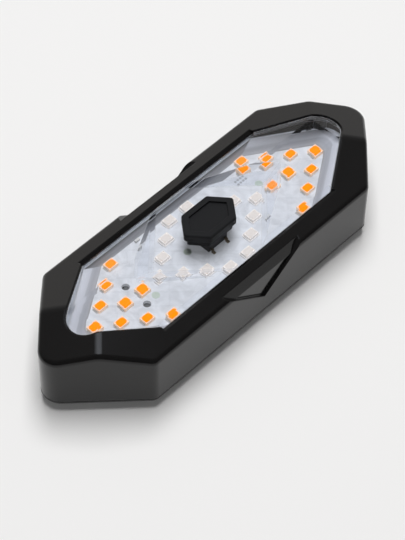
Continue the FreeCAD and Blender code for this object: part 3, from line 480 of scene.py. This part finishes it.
# %% Small plastics and ceramics
finish_nodes(moulded_material("switch plastic", (0.014, 0.014, 0.014), (0.02, 0.02, 0.02), (0.45, 0.6)),
             "switch_body", "switch_plunger")
finish_nodes(moulded_material("chip resin", (0.018, 0.018, 0.02), (0.028, 0.028, 0.03), (0.5, 0.65),
                              grain_scale=3500.0), "controller_chip", "driver_chips", "usb_tongue")
finish_nodes(moulded_material("milky plug plastic", (0.74, 0.72, 0.66), (0.80, 0.79, 0.74), (0.4, 0.5)),
             "battery_plug", "battery_header")
ceramic_white = moulded_material("white ceramic", (0.70, 0.70, 0.68), (0.78, 0.78, 0.77), (0.35, 0.5))
finish_nodes(ceramic_white, "resistors", "receiver_antenna")
finish_nodes(moulded_material("tan ceramic", (0.36, 0.24, 0.14), (0.44, 0.30, 0.18), (0.35, 0.5)),
             "capacitors")
finish_nodes(moulded_material("red wire cover", (0.45, 0.012, 0.010), (0.52, 0.02, 0.015), (0.35, 0.5)),
             "battery_lead_plus")
finish_nodes(moulded_material("black wire cover", (0.01, 0.01, 0.01), (0.016, 0.016, 0.016), (0.35, 0.5)),
             "battery_lead_minus")


# %% [markdown]
# The springy switch cover, the pins, the socket and the cell's pouch are metal. Rolled sheet has
# fine lines along one way. The shader's anisotropy would need a tangent on each piece, so a noise
# that is stretched along the lamp changes the gloss instead, in a group that all metals share.

# %% Group: rolled metal
rolled, start, end = new_group(
    "rolled metal",
    [("Colour", COLOUR, grey(0.6)), ("Dull Colour", COLOUR, grey(0.4)),
     ("Roughness Low", NUMBER, 0.2), ("Roughness High", NUMBER, 0.35)],
    [("Colour", COLOUR), ("Roughness", NUMBER), ("Height", NUMBER)])
where = add_node(rolled, "ShaderNodeTexCoord")
stretch = add_node(rolled, "ShaderNodeMapping")
set_sockets(stretch, Scale=(120.0, 4000.0, 4000.0))
lines = add_node(rolled, "ShaderNodeTexNoise")
set_sockets(lines, Scale=1.0, Detail=3.0)
patches = add_node(rolled, "ShaderNodeTexNoise")
set_sockets(patches, Scale=400.0, Detail=3.0)
tint = add_node(rolled, "ShaderNodeMix", data_type="RGBA")
gloss = add_node(rolled, "ShaderNodeMapRange")
link(rolled, where, "Object", stretch, "Vector")
link(rolled, stretch, "Vector", lines, "Vector")
link(rolled, where, "Object", patches, "Vector")
link(rolled, patches, "Fac", tint, "Factor")
link(rolled, start, "Colour", tint, "A")
link(rolled, start, "Dull Colour", tint, "B")
link(rolled, lines, "Fac", gloss, "Value")
link(rolled, start, "Roughness Low", gloss, "To Min")
link(rolled, start, "Roughness High", gloss, "To Max")
link(rolled, tint, "Result", end, "Colour")
link(rolled, gloss, "Result", end, "Roughness")
link(rolled, lines, "Fac", end, "Height")
print("group:", rolled.name, "nodes:", len(rolled.nodes))


# %% [markdown]
# Each metal is the rolled group with its own colours. The switch's two legs and the solder are
# metal too, but their skin has gone matt: a mirror there would show black strips from the room,
# so they are made like a moulded surface, in the colour of old plating.

# %% Steel, tin, foil and zinc
LINE_DEPTH = 0.000004


def metal_material(name, base, dull, rough):
    material, tree, shader = new_material(name)
    effect = add_node(tree, "ShaderNodeGroup", node_tree=rolled)
    set_sockets(effect, Colour=colour(*base), Dull_Colour=colour(*dull), Roughness_Low=rough[0],
                Roughness_High=rough[1])
    bump = add_node(tree, "ShaderNodeBump")
    set_sockets(bump, Strength=1.0, Distance=LINE_DEPTH)
    set_sockets(shader, Metallic=1.0)
    link(tree, effect, "Colour", shader, "Base Color")
    link(tree, effect, "Roughness", shader, "Roughness")
    link(tree, effect, "Height", bump, "Height")
    link(tree, bump, "Normal", shader, "Normal")
    return material


finish_nodes(metal_material("spring steel", (0.56, 0.56, 0.57), (0.40, 0.39, 0.38), (0.22, 0.38)),
             "switch_cover", "switch_dome", "usb_shell")
finish_nodes(metal_material("tinned metal", (0.66, 0.66, 0.65), (0.50, 0.50, 0.49), (0.28, 0.45)),
             "controller_legs", "crystal", "receiver_can")
finish_nodes(moulded_material("dull plated leg", (0.24, 0.20, 0.145), (0.15, 0.12, 0.085), (0.35, 0.5),
                              cloud_scale=700.0), "switch_legs")
finish_nodes(metal_material("cell pouch foil", (0.62, 0.63, 0.66), (0.50, 0.51, 0.54), (0.3, 0.42)),
             "battery_cell")
finish_nodes(metal_material("zinc screw", (0.60, 0.60, 0.60), (0.38, 0.38, 0.37), (0.25, 0.42)),
             "back_screws")
dull_tin = moulded_material("dull tinned pad", (0.42, 0.43, 0.45), (0.52, 0.53, 0.55), (0.4, 0.55))
solder = moulded_material("dull solder", (0.52, 0.51, 0.50), (0.62, 0.61, 0.60), (0.4, 0.55))


# %% [markdown]
# The board under the window is covered in white solder mask, the receiver's board in grey and
# the battery's in green. The copper tracks below the mask show as slightly raised, slightly darker
# lines. They could be drawn as an image, but a brick pattern of thin lines that is turned by 45
# degrees gives such tracks without any maker's layout. A twisted noise makes the mask a little
# uneven, as the board looks through the window. The white mask also has a weak glow, which is
# painted light: it lifts the shade on the board, such as the button's shadow, and keeps it bright.

# %% Circuit boards
def board_material(name, mask, track, pitch, painted_glow=0.0):
    material, tree, shader = new_material(name)
    set_sockets(shader, Emission_Strength=painted_glow)
    where = add_node(tree, "ShaderNodeTexCoord")
    turn = add_node(tree, "ShaderNodeMapping")
    set_sockets(turn, Rotation=(0, 0, math.radians(45)))
    tracks = add_node(tree, "ShaderNodeTexBrick", offset=0.35, offset_frequency=3, squash=1.7,
                      squash_frequency=3)
    set_sockets(tracks, Color1=colour(*mask), Color2=colour(*mask), Mortar=colour(*track),
                Scale=1.0 / pitch, Mortar_Size=0.035, Mortar_Smooth=0.3, Brick_Width=1.3,
                Row_Height=0.55)
    uneven = add_node(tree, "ShaderNodeTexNoise")
    set_sockets(uneven, Scale=150.0, Detail=3.0, Distortion=1.8)
    pale = add_node(tree, "ShaderNodeMapRange")
    set_sockets(pale, From_Min=0.3, From_Max=0.7, To_Min=0.80, To_Max=1.02)
    shade = add_node(tree, "ShaderNodeMix", data_type="RGBA", blend_type="MULTIPLY")
    set_sockets(shade, Factor=1.0)
    gloss = add_node(tree, "ShaderNodeMapRange")
    set_sockets(gloss, To_Min=0.32, To_Max=0.5)
    bump = add_node(tree, "ShaderNodeBump", invert=True)
    set_sockets(bump, Strength=0.6, Distance=0.00004)
    link(tree, where, "Object", turn, "Vector")
    link(tree, turn, "Vector", tracks, "Vector")
    link(tree, where, "Object", uneven, "Vector")
    link(tree, uneven, "Fac", pale, "Value")
    link(tree, uneven, "Fac", gloss, "Value")
    link(tree, tracks, "Color", shade, "A")
    link(tree, pale, "Result", shade, "B")
    link(tree, shade, "Result", shader, "Base Color")
    link(tree, shade, "Result", shader, "Emission Color")
    link(tree, gloss, "Result", shader, "Roughness")
    link(tree, tracks, "Fac", bump, "Height")
    link(tree, bump, "Normal", shader, "Normal")
    return material


# The glow of the white mask is painted light that lifts its shade.
finish_nodes(board_material("white solder mask", (0.68, 0.70, 0.74), (0.655, 0.675, 0.715), 0.009,
                            painted_glow=0.22), "led_board")
finish_nodes(board_material("grey solder mask", (0.16, 0.16, 0.165), (0.12, 0.12, 0.125), 0.003),
             "receiver_board")
finish_nodes(board_material("green solder mask", (0.02, 0.12, 0.05), (0.015, 0.09, 0.035), 0.003),
             "battery_board")


# %% [markdown]
# Each emitter is a pale case with a small pool of resin. In the arrows the resin is a strong
# amber even when off, and in the ring it is cream. A clear coloured glass would go dark in so
# shallow a pool, so the resin is opaque and specked. A faint emission of the same colour is painted
# light, which makes the resin brighter than the lamp alone would.

# %% Resin
def resin_material(name, base, deep, painted_glow):
    material, tree, shader = new_material(name)
    set_sockets(shader, Roughness=0.35, Specular_IOR_Level=0.2, Emission_Strength=painted_glow)
    where = add_node(tree, "ShaderNodeTexCoord")
    speck = add_node(tree, "ShaderNodeTexNoise")
    set_sockets(speck, Scale=1500.0, Detail=3.0)
    tint = add_node(tree, "ShaderNodeMix", data_type="RGBA")
    set_sockets(tint, A=colour(*base), B=colour(*deep))
    link(tree, where, "Object", speck, "Vector")
    link(tree, speck, "Fac", tint, "Factor")
    link(tree, tint, "Result", shader, "Base Color")
    link(tree, tint, "Result", shader, "Emission Color")
    return material


# The emission of both resins is painted light.
amber = resin_material("amber resin", (1.0, 0.30, 0.0), (0.97, 0.25, 0.0), 0.4)
cream = resin_material("cream resin", (0.86, 0.80, 0.75), (0.78, 0.72, 0.68), 0.12)
print("resins:", amber.name, "and", cream.name)


# %% [markdown]
# Each new piece starts as a cube or a disc at its size and place, and is then shaped in edit
# mode, as by hand. An operator acts on all that is selected, so everything is deselected before a
# shape is added, and the faces or edges that it should change are chosen by their place or their
# normal. Moving vertices by number would be shorter, but it can't be read back. Most pieces stand
# on the white board, so the height of its upper face is measured here.

# %% First shapes
UPRIGHT = 0.99
FACING = 0.9


def start_block(name, low, high):
    """A cube from its lowest to its highest corner, with its place and size in its mesh."""
    bpy.ops.object.select_all(action="DESELECT")
    bpy.ops.mesh.primitive_cube_add(size=1.0, location=(low + high) / 2)
    piece = bpy.context.object
    piece.name = name
    piece.scale = high - low
    bpy.ops.object.transform_apply(location=True, rotation=True, scale=True)
    return piece


def choose(piece, kind, wanted):
    """In edit mode, select only the faces or edges that the test accepts."""
    bpy.ops.mesh.select_mode(type=kind)
    bpy.ops.mesh.select_all(action="DESELECT")
    work = bmesh.from_edit_mesh(piece.data)
    for item in (work.faces if kind == "FACE" else work.edges):
        item.select_set(wanted(item))
    bmesh.update_edit_mesh(piece.data)


def is_upright(edge):
    a, b = (vertex.co for vertex in edge.verts)
    return abs((a - b).normalized().z) > UPRIGHT


def faces_up(face):
    return face.normal.z > FACING


board_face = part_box("led_board")[1].z
print("upper face of the board at", round(board_face / MM, 3), "mm")


# %% [markdown]
# The emitters repeat, so one is modelled and copied, each copy with its own mesh. An array
# modifier repeats only in a row, and an arrow isn't one. The places are read from the CAD node
# itself: its loose triangles are grouped into solids by the corners that they share, and each
# group's box is one emitter. So the copies follow the CAD model.

# %% Places and copies
MICRONS = 1e6


def solid_boxes(node):
    """The lowest and highest corner of each separate solid in a CAD node, in order of place."""
    mesh = nodes[node].data
    place = nodes[node].matrix_world
    points = [place @ vertex.co for vertex in mesh.vertices]
    keys = [tuple(round(value * MICRONS) for value in point) for point in points]
    parent = {key: key for key in keys}

    def top(key):
        while parent[key] != key:
            key = parent[key]
        return key

    for face in mesh.polygons:
        first = top(keys[face.vertices[0]])
        for index in face.vertices:
            parent[top(keys[index])] = first
    solids = {}
    for key, point in zip(keys, points):
        solids.setdefault(top(key), []).append(point)
    boxes = [(Vector(min(p[i] for p in group) for i in range(3)),
              Vector(max(p[i] for p in group) for i in range(3))) for group in solids.values()]
    return sorted(boxes, key=lambda box: (round(box[0].x, 5), round(box[0].y, 5)))


def join_into(piece, others, name):
    """Join the other objects into the piece, which keeps its name."""
    bpy.ops.object.select_all(action="DESELECT")
    for other in others:
        other.select_set(True)
    piece.select_set(True)
    bpy.context.view_layer.objects.active = piece
    bpy.ops.object.join()
    piece.name = name


def moved_copy(piece, change):
    """A copy of a piece, with the change made to its own mesh."""
    copy = piece.copy()
    copy.data = piece.data.copy()
    copy.data.transform(change)
    bpy.context.scene.collection.objects.link(copy)
    return copy


def copies_at(piece, shifts, name):
    """One copy of a modelled piece at each shift, joined into one object; the first one stays."""
    join_into(piece, [moved_copy(piece, Matrix.Translation(shift)) for shift in shifts], name)


print("emitters:", {name: len(solid_boxes(name)) for name in ("amber_leds_left", "ring_leds")})


# %% [markdown]
# In CAD a pool of resin is a plain block. The real one has round corners and stands up in a low
# dome, where surface tension held it while it set. A scaled sphere would have no flat rim, so the
# block's upright edges are bevelled, and its top is inset and lifted in three smaller steps. The
# pools take the place of the CAD blocks.

# %% Resin pools
POOL_CORNER = 1.05 * MM
DOME_INSET = 0.2 * MM
DOME_RISES = (0.07 * MM, 0.04 * MM, 0.015 * MM)
SMOOTH_BELOW = math.radians(35)


def finish_piece(piece, material, instead_of=()):
    """Give a new piece its material and the body it moves with."""
    bpy.ops.object.select_all(action="DESELECT")
    piece.select_set(True)
    bpy.context.view_layer.objects.active = piece
    bpy.ops.object.shade_smooth_by_angle(angle=SMOOTH_BELOW)
    piece.data.materials.clear()
    piece.data.materials.append(material)
    if instead_of:
        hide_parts(*instead_of)
    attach(piece, "housing")
    print(piece.name, "polygons:", len(piece.data.polygons))


def resin_pools(name, node, material):
    """Round-cornered, domed pools in place of the plain blocks of a CAD node."""
    boxes = solid_boxes(node)
    low, high = boxes[0]
    pool = start_block(name, low, high)
    bpy.ops.object.mode_set(mode="EDIT")
    choose(pool, "EDGE", is_upright)
    bpy.ops.mesh.bevel(offset=POOL_CORNER, segments=6, affect="EDGES")
    choose(pool, "FACE", faces_up)
    for rise in DOME_RISES:
        bpy.ops.mesh.inset(thickness=DOME_INSET)
        bpy.ops.transform.translate(value=(0, 0, rise))
    bpy.ops.object.mode_set(mode="OBJECT")
    copies_at(pool, [box[0] - low for box in boxes[1:]], name)
    finish_piece(pool, material, instead_of=(node,))


resin_pools("amber_pools_left", "amber_windows_left", amber)
resin_pools("amber_pools_right", "amber_windows_right", amber)
resin_pools("cream_pools", "ring_windows", cream)


# %% [markdown]
# An emitter is held by a ramp of solder at each end, from the board up to the case. A block has
# its outer upper edge pulled down, which makes the ramp, and its outer edges rounded a little.
# The ramp at the other end is a mirrored copy. Mirroring turns a mesh inside out, so the copy's
# normals are flipped back.

# %% Solder
SOLDER_WIDTH = 1.9 * MM
SOLDER_REACH = 0.5 * MM
SOLDER_RISE = 0.32 * MM
SOLDER_ROUND = 0.05 * MM
NEARLY = 0.9
FALL = 0.8


def solder_fillets(name, node):
    """A small ramp of solder from the board up to each end of each emitter."""
    boxes = solid_boxes(node)
    low, high = boxes[0]
    middle = (low + high) / 2
    ramp = start_block(name, Vector((high.x, middle.y - SOLDER_WIDTH / 2, low.z)),
                       Vector((high.x + SOLDER_REACH, middle.y + SOLDER_WIDTH / 2, low.z + SOLDER_RISE)))
    outer = high.x + SOLDER_REACH * NEARLY
    upper = low.z + SOLDER_RISE * NEARLY
    bpy.ops.object.mode_set(mode="EDIT")
    choose(ramp, "EDGE", lambda edge: all(v.co.x > outer and v.co.z > upper for v in edge.verts))
    bpy.ops.transform.translate(value=(0, 0, -SOLDER_RISE * FALL))
    choose(ramp, "EDGE", lambda edge: all(v.co.x > outer for v in edge.verts) or is_upright(edge))
    bpy.ops.mesh.bevel(offset=SOLDER_ROUND, segments=2, affect="EDGES")
    bpy.ops.object.mode_set(mode="OBJECT")
    mirror = Matrix.Translation((2 * middle.x, 0, 0)) @ Matrix.Scale(-1, 4, (1, 0, 0))
    other = moved_copy(ramp, mirror)
    other.data.flip_normals()
    join_into(ramp, [other], name)
    copies_at(ramp, [box[0] - low for box in boxes[1:]], name)
    finish_piece(ramp, solder)


solder_fillets("solder_left", "amber_leds_left")
solder_fillets("solder_right", "amber_leds_right")
solder_fillets("solder_ring", "ring_leds")


# %% [markdown]
# The ring's emitters sit in a thin bead of milky glue that spreads over the board. A torus would
# be round, and the bead is a rounded rectangle, so a low block with round corners is sunk in the
# middle, which leaves a rim, and the rim's upper outer edge is rounded.

# %% Glue beads
BEAD_SPREAD = Vector((0.42, 0.42, 0)) * MM
BEAD_RISE = 0.32 * MM
BEAD_CORNER = 0.5 * MM
BEAD_RIM = 0.36 * MM
BEAD_SUNK = 0.28 * MM
BEAD_ROUND = 0.14 * MM
BEAD_EDGE = board_face + 0.3 * MM
NOT_UP = 0.1

ring = solid_boxes("ring_leds")
lowest, highest = ring[0]
bead = start_block("ring_beads", Vector((lowest.x, lowest.y, board_face)) - BEAD_SPREAD,
                   Vector((highest.x, highest.y, board_face + BEAD_RISE)) + BEAD_SPREAD)
bpy.ops.object.mode_set(mode="EDIT")
choose(bead, "EDGE", is_upright)
bpy.ops.mesh.bevel(offset=BEAD_CORNER, segments=4, affect="EDGES")
choose(bead, "FACE", faces_up)
bpy.ops.mesh.inset(thickness=BEAD_RIM)
bpy.ops.mesh.extrude_region_move(TRANSFORM_OT_translate={"value": (0, 0, -BEAD_SUNK)})
choose(bead, "EDGE", lambda edge: all(v.co.z > BEAD_EDGE for v in edge.verts) and
       len(edge.link_faces) == 2 and min(f.normal.z for f in edge.link_faces) < NOT_UP)
bpy.ops.mesh.bevel(offset=BEAD_ROUND, segments=3, affect="EDGES")
bpy.ops.object.mode_set(mode="OBJECT")
copies_at(bead, [box[0] - lowest for box in ring[1:]], "ring_beads")
# The bead's weak emission is painted light that brightens it.
glue = moulded_material("milky glue bead with painted light", (0.78, 0.77, 0.77), (0.84, 0.83, 0.83), (0.3, 0.4),
                        cloud_scale=400.0, Emission_Color=colour(0.86, 0.85, 0.86), Emission_Strength=0.15)
finish_piece(bead, glue)


# %% [markdown]
# Beside the right arrow the board has two rows of small bare pads, where the maker tests it, and
# in three places a wider pad under pale green lacquer. Each is a thin disc, inset and sunk a
# little in the middle. As a pattern in the board's material they would have no edge to catch the
# light.

# %% Pads on the board
PAD_HEIGHT = 0.05 * MM
PAD_SUNK = 0.035 * MM
PAD_RIM = 0.45
TEST_PAD_PLACE = (21.2, 7.9)
TEST_PAD_RADIUS = 0.4
TEST_PAD_COLUMNS = 4
TEST_PAD_ROWS = 2
TEST_PAD_STEPS = Vector((1.05, 1.3, 0)) * MM
TOOL_PAD_PLACE = (-7.96, 0.71)
TOOL_PAD_RADIUS = 1.2
TOOL_PAD_SHIFTS = ((-17.7, -4.5, 0), (33.6, 3.1, 0))


def start_disc(name, centre, radius, height, sides=20):
    """A short cylinder that stands on its centre point."""
    bpy.ops.object.select_all(action="DESELECT")
    bpy.ops.mesh.primitive_cylinder_add(vertices=sides, radius=radius, depth=height,
                                        location=centre + Vector((0, 0, height / 2)))
    piece = bpy.context.object
    piece.name = name
    bpy.ops.object.transform_apply(location=True, rotation=True, scale=True)
    return piece


def round_pad(name, place, radius):
    """A pad with a dimple in the middle; its place and radius are in millimetres."""
    pad = start_disc(name, Vector((*place, 0)) * MM + Vector((0, 0, board_face)), radius * MM, PAD_HEIGHT)
    bpy.ops.object.mode_set(mode="EDIT")
    choose(pad, "FACE", faces_up)
    bpy.ops.mesh.inset(thickness=radius * PAD_RIM * MM)
    bpy.ops.mesh.extrude_region_move(TRANSFORM_OT_translate={"value": (0, 0, -PAD_SUNK)})
    bpy.ops.object.mode_set(mode="OBJECT")
    return pad


test_pads = round_pad("test_pads", TEST_PAD_PLACE, TEST_PAD_RADIUS)
pad_shifts = [Vector((column * TEST_PAD_STEPS.x, row * TEST_PAD_STEPS.y, 0))
              for row in range(TEST_PAD_ROWS) for column in range(TEST_PAD_COLUMNS)]
copies_at(test_pads, pad_shifts[1:], "test_pads")
finish_piece(test_pads, dull_tin)
tool_pads = round_pad("tool_pads", TOOL_PAD_PLACE, TOOL_PAD_RADIUS)
copies_at(tool_pads, [Vector(shift) * MM for shift in TOOL_PAD_SHIFTS], "tool_pads")
mint = moulded_material("mint pad lacquer", (0.56, 0.64, 0.56), (0.64, 0.71, 0.64), (0.35, 0.5))
finish_piece(tool_pads, mint)


# %% [markdown]
# Two chip capacitors stand on the upper side of the board, beside the ring. Close up such a part
# has tinned ends. At this size only its outline and a soft edge show, so each is a pale ceramic
# block with all its edges rounded.

# %% Two small capacitors
CAPACITOR_HALF = Vector((0.8, 0.4, 0)) * MM
CAPACITOR_HEIGHT = 0.7 * MM
CAPACITOR_ROUND = 0.06 * MM
CAPACITOR_PLACE = Vector((17.9, -6.9, 0)) * MM
SECOND_CAPACITOR = Vector((-33.4, 20.3, 0)) * MM

capacitors = start_block(
    "board_capacitors", CAPACITOR_PLACE - CAPACITOR_HALF + Vector((0, 0, board_face)),
    CAPACITOR_PLACE + CAPACITOR_HALF + Vector((0, 0, board_face + CAPACITOR_HEIGHT)))
bpy.ops.object.mode_set(mode="EDIT")
choose(capacitors, "EDGE", lambda edge: True)
bpy.ops.mesh.bevel(offset=CAPACITOR_ROUND, segments=2, affect="EDGES")
bpy.ops.object.mode_set(mode="OBJECT")
copies_at(capacitors, [SECOND_CAPACITOR], "board_capacitors")
finish_piece(capacitors, ceramic_white)


# %% [markdown]
# Inside the frame the window has a sloping rim that ends on the board. It shows as a grey-blue
# band with streaks along the edge. It could be swept along the outline, but a sweep pinches at
# the round tips. So a hexagonal block is cut out of a cube by planes, and a second one, whose faces
# slant outwards as they rise, is taken out of it, as a moulder's core would shape it.

# %% Shape of the prism rim
RIM_RISE = 2.2
CUBE_HALF = (62, 18)
END_ACROSS = (0.5468, 0.8373)
TIP_FROM = 0.03
ON_AXIS = 0.0001
board_top = board_face / MM


def cut_off(piece, point, normal):
    """Cut a piece by a plane, close the cut and drop what lies on the side of the normal."""
    bpy.ops.object.mode_set(mode="EDIT")
    bpy.ops.mesh.select_all(action="SELECT")
    bpy.ops.mesh.bisect(plane_co=point, plane_no=normal.normalized(), use_fill=True, clear_outer=True)
    bpy.ops.object.mode_set(mode="OBJECT")


def hexagon_block(name, low, high, sides, ends, tip_round):
    """A hexagonal block, in millimetres, whose faces may slant.

    The sides and the ends each have two distances from the middle: at the board, and RIM_RISE up.
    """
    piece = start_block(name, Vector((-CUBE_HALF[0], -CUBE_HALF[1], low)) * MM,
                        Vector((CUBE_HALF[0], CUBE_HALF[1], high)) * MM)
    for turn_y in (1, -1):
        normal = Vector((0, turn_y * RIM_RISE, sides[0] - sides[1]))
        cut_off(piece, Vector((0, turn_y * sides[0], board_top)) * MM, normal)
        for turn_x in (1, -1):
            across = Vector((END_ACROSS[0] * turn_x, END_ACROSS[1] * turn_y, 0))
            normal = across * RIM_RISE + Vector((0, 0, ends[0] - ends[1]))
            cut_off(piece, (across * ends[0] + Vector((0, 0, board_top))) * MM, normal)
    bpy.ops.object.mode_set(mode="EDIT")
    choose(piece, "EDGE", lambda edge: all(abs(v.co.y) < ON_AXIS and abs(v.co.x) > TIP_FROM
                                           for v in edge.verts))
    bpy.ops.mesh.bevel(offset=tip_round * MM, segments=8, affect="EDGES")
    bpy.ops.object.mode_set(mode="OBJECT")
    return piece


rim = hexagon_block("prism_rim", board_top + 0.01, board_top + RIM_RISE, sides=(15.7, 15.7),
                    ends=(32.08, 32.08), tip_round=8.34)
core = hexagon_block("rim_core", board_top - 0.5, board_top + RIM_RISE + 0.5, sides=(14.1, 15.55),
                     ends=(27.75, 31.93), tip_round=3.0)
bpy.ops.object.select_all(action="DESELECT")
rim.select_set(True)
bpy.context.view_layer.objects.active = rim
hollow = rim.modifiers.new("hollow", "BOOLEAN")
hollow.operation = "DIFFERENCE"
hollow.object = core
bpy.ops.object.modifier_apply(modifier="hollow")
bpy.data.objects.remove(core)
print("prism rim corners:", len(rim.data.vertices))


# %% [markdown]
# Seen through the window the rim is darker at the board and paler above, with fine streaks along
# it, and its slopes at the far side are in shade. True refraction inside one moulding is costly
# and full of noise, so the band is painted by height: a ramp, shifted here and there by a noise
# that is squeezed in height, and dimmed where a slope looks back towards the camera's side.

# %% Look of the prism rim
STREAK_SCALE = (60.0, 60.0, 2600.0)
STREAK_SWING = 0.30
PAINT_STEPS = ((0.10, 0.48), (0.28, 0.46), (0.44, 0.52), (0.54, 0.68), (0.80, 0.74))
BLUER = (1.0, 1.03, 1.12)

prism, tree, shader = new_material("streaked prism rim")
set_sockets(shader, Roughness=0.3)
where = add_node(tree, "ShaderNodeTexCoord")
parts = add_node(tree, "ShaderNodeSeparateXYZ")
level = add_node(tree, "ShaderNodeMapRange")
set_sockets(level, From_Min=board_face, From_Max=board_face + RIM_RISE * MM)
flat = add_node(tree, "ShaderNodeMapping")
set_sockets(flat, Scale=STREAK_SCALE)
streaks = add_node(tree, "ShaderNodeTexNoise")
set_sockets(streaks, Scale=1.0, Detail=3.0)
wander = math_node(tree, "MULTIPLY_ADD", STREAK_SWING)
shift = math_node(tree, "SUBTRACT", STREAK_SWING / 2)
band = add_node(tree, "ShaderNodeValToRGB")
set_ramp(band, ((0.0, colour(0.36, 0.36, 0.37)),
                *((place, colour(*(tone * part for part in BLUER))) for place, tone in PAINT_STEPS),
                (1.0, colour(0.76, 0.78, 0.84))))
faces = along(tree, AWAY)
dim = add_node(tree, "ShaderNodeMapRange")
set_sockets(dim, From_Min=-0.46, From_Max=-0.1, To_Min=-0.86, To_Max=0.0)
upper = add_node(tree, "ShaderNodeMath", operation="MULTIPLY_ADD")
upper.inputs[2].default_value = 1.0
shade = add_node(tree, "ShaderNodeMix", data_type="RGBA", blend_type="MULTIPLY")
set_sockets(shade, Factor=1.0)
link(tree, where, "Object", parts, 0)
link(tree, parts, "Z", level, "Value")
link(tree, where, "Object", flat, "Vector")
link(tree, flat, "Vector", streaks, "Vector")
link(tree, streaks, "Fac", wander, 0)
link(tree, level, "Result", wander, 2)
link(tree, wander, "Value", shift, 0)
link(tree, shift, "Value", band, "Fac")
link(tree, where, "Normal", faces, 0)
link(tree, faces, "Value", dim, "Value")
link(tree, dim, "Result", upper, 0)
link(tree, level, "Result", upper, 1)
link(tree, band, "Color", shade, "A")
link(tree, upper, "Value", shade, "B")
link(tree, shade, "Result", shader, "Base Color")
finish_piece(rim, prism)


# %% [markdown]
# The window is polished acrylic. Real refraction bends the view of the board at its facets, as
# in the photograph. With acrylic's own index of 1.49 they shift the emitters further than the
# photograph shows, so it is set lower. A ray that only asks whether light arrives would be
# stopped by such glass, so shadow rays pass, and the board is lit as it should be. So do rays
# that have crossed the window many times, and most of the light at its steep side faces, which
# would else turn black.

# %% Clear acrylic
MOST_CROSSINGS = 3.5
STEEP_BELOW = 0.85
STEEP_CLEAR = 0.88

clear, tree, shader = new_material("clear acrylic")
set_sockets(shader, Base_Color=colour(0.985, 0.99, 1.0), Roughness=0.0, IOR=1.15,
            Transmission_Weight=1.0, Coat_Weight=0.6, Coat_Roughness=0.03, Coat_IOR=1.49)
through = add_node(tree, "ShaderNodeBsdfTransparent")
set_sockets(through, Color=colour(0.93, 0.94, 0.96))
ray = add_node(tree, "ShaderNodeLightPath")
deep = math_node(tree, "GREATER_THAN", MOST_CROSSINGS)
either = add_node(tree, "ShaderNodeMath", operation="MAXIMUM")
where = add_node(tree, "ShaderNodeTexCoord")
parts = add_node(tree, "ShaderNodeSeparateXYZ")
upward = add_node(tree, "ShaderNodeMath", operation="ABSOLUTE")
steep = math_node(tree, "LESS_THAN", STEEP_BELOW)
faint = math_node(tree, "MULTIPLY", STEEP_CLEAR)
any_of = add_node(tree, "ShaderNodeMath", operation="MAXIMUM")
link(tree, where, "Normal", parts, 0)
link(tree, parts, "Z", upward, 0)
link(tree, upward, 0, steep, 0)
link(tree, steep, 0, faint, 0)
link(tree, ray, "Transmission Depth", deep, 0)
link(tree, ray, "Is Shadow Ray", either, 0)
link(tree, deep, 0, either, 1)
link(tree, either, 0, any_of, 0)
link(tree, faint, 0, any_of, 1)
glass = mix_shaders(tree, any_of.outputs[0], shader.outputs["BSDF"], through.outputs["BSDF"])
print("window material:", clear.name)


# %% [markdown]
# A moulded edge in clear plastic is slightly round and catches light as a pale line. The CAD
# edge is sharp and shows nothing. A Bevel node turns the normal near an edge, so where it differs
# from the true normal there is an edge, and there up to half of a pale matt shader is mixed in:
# a painted highlight along the edge.

# %% Painted highlight along the window's edges
EDGE_RADIUS = 0.35 * MM
EDGE_SHARE = 0.5

edge = add_node(tree, "ShaderNodeBevel", samples=6)
set_sockets(edge, Radius=EDGE_RADIUS)
true_face = add_node(tree, "ShaderNodeNewGeometry")
turned = add_node(tree, "ShaderNodeVectorMath", operation="DOT_PRODUCT")
line = add_node(tree, "ShaderNodeMapRange")
set_sockets(line, From_Min=0.99, From_Max=0.90, To_Min=0.0, To_Max=EDGE_SHARE)
# A pale matt shader, mixed in at the edges as a painted highlight.
painted_edge_highlight = add_node(tree, "ShaderNodeBsdfPrincipled")
set_sockets(painted_edge_highlight, Base_Color=colour(0.86, 0.88, 0.92), Roughness=0.35)
link(tree, edge, "Normal", turned, 0)
link(tree, true_face, "True Normal", turned, 1)
link(tree, turned, "Value", line, "Value")
outlined = mix_shaders(tree, line.outputs["Result"], glass, painted_edge_highlight.outputs["BSDF"])
tree.links.new(outlined, tree.nodes["Material Output"].inputs["Surface"])
finish_nodes(clear, "lens")
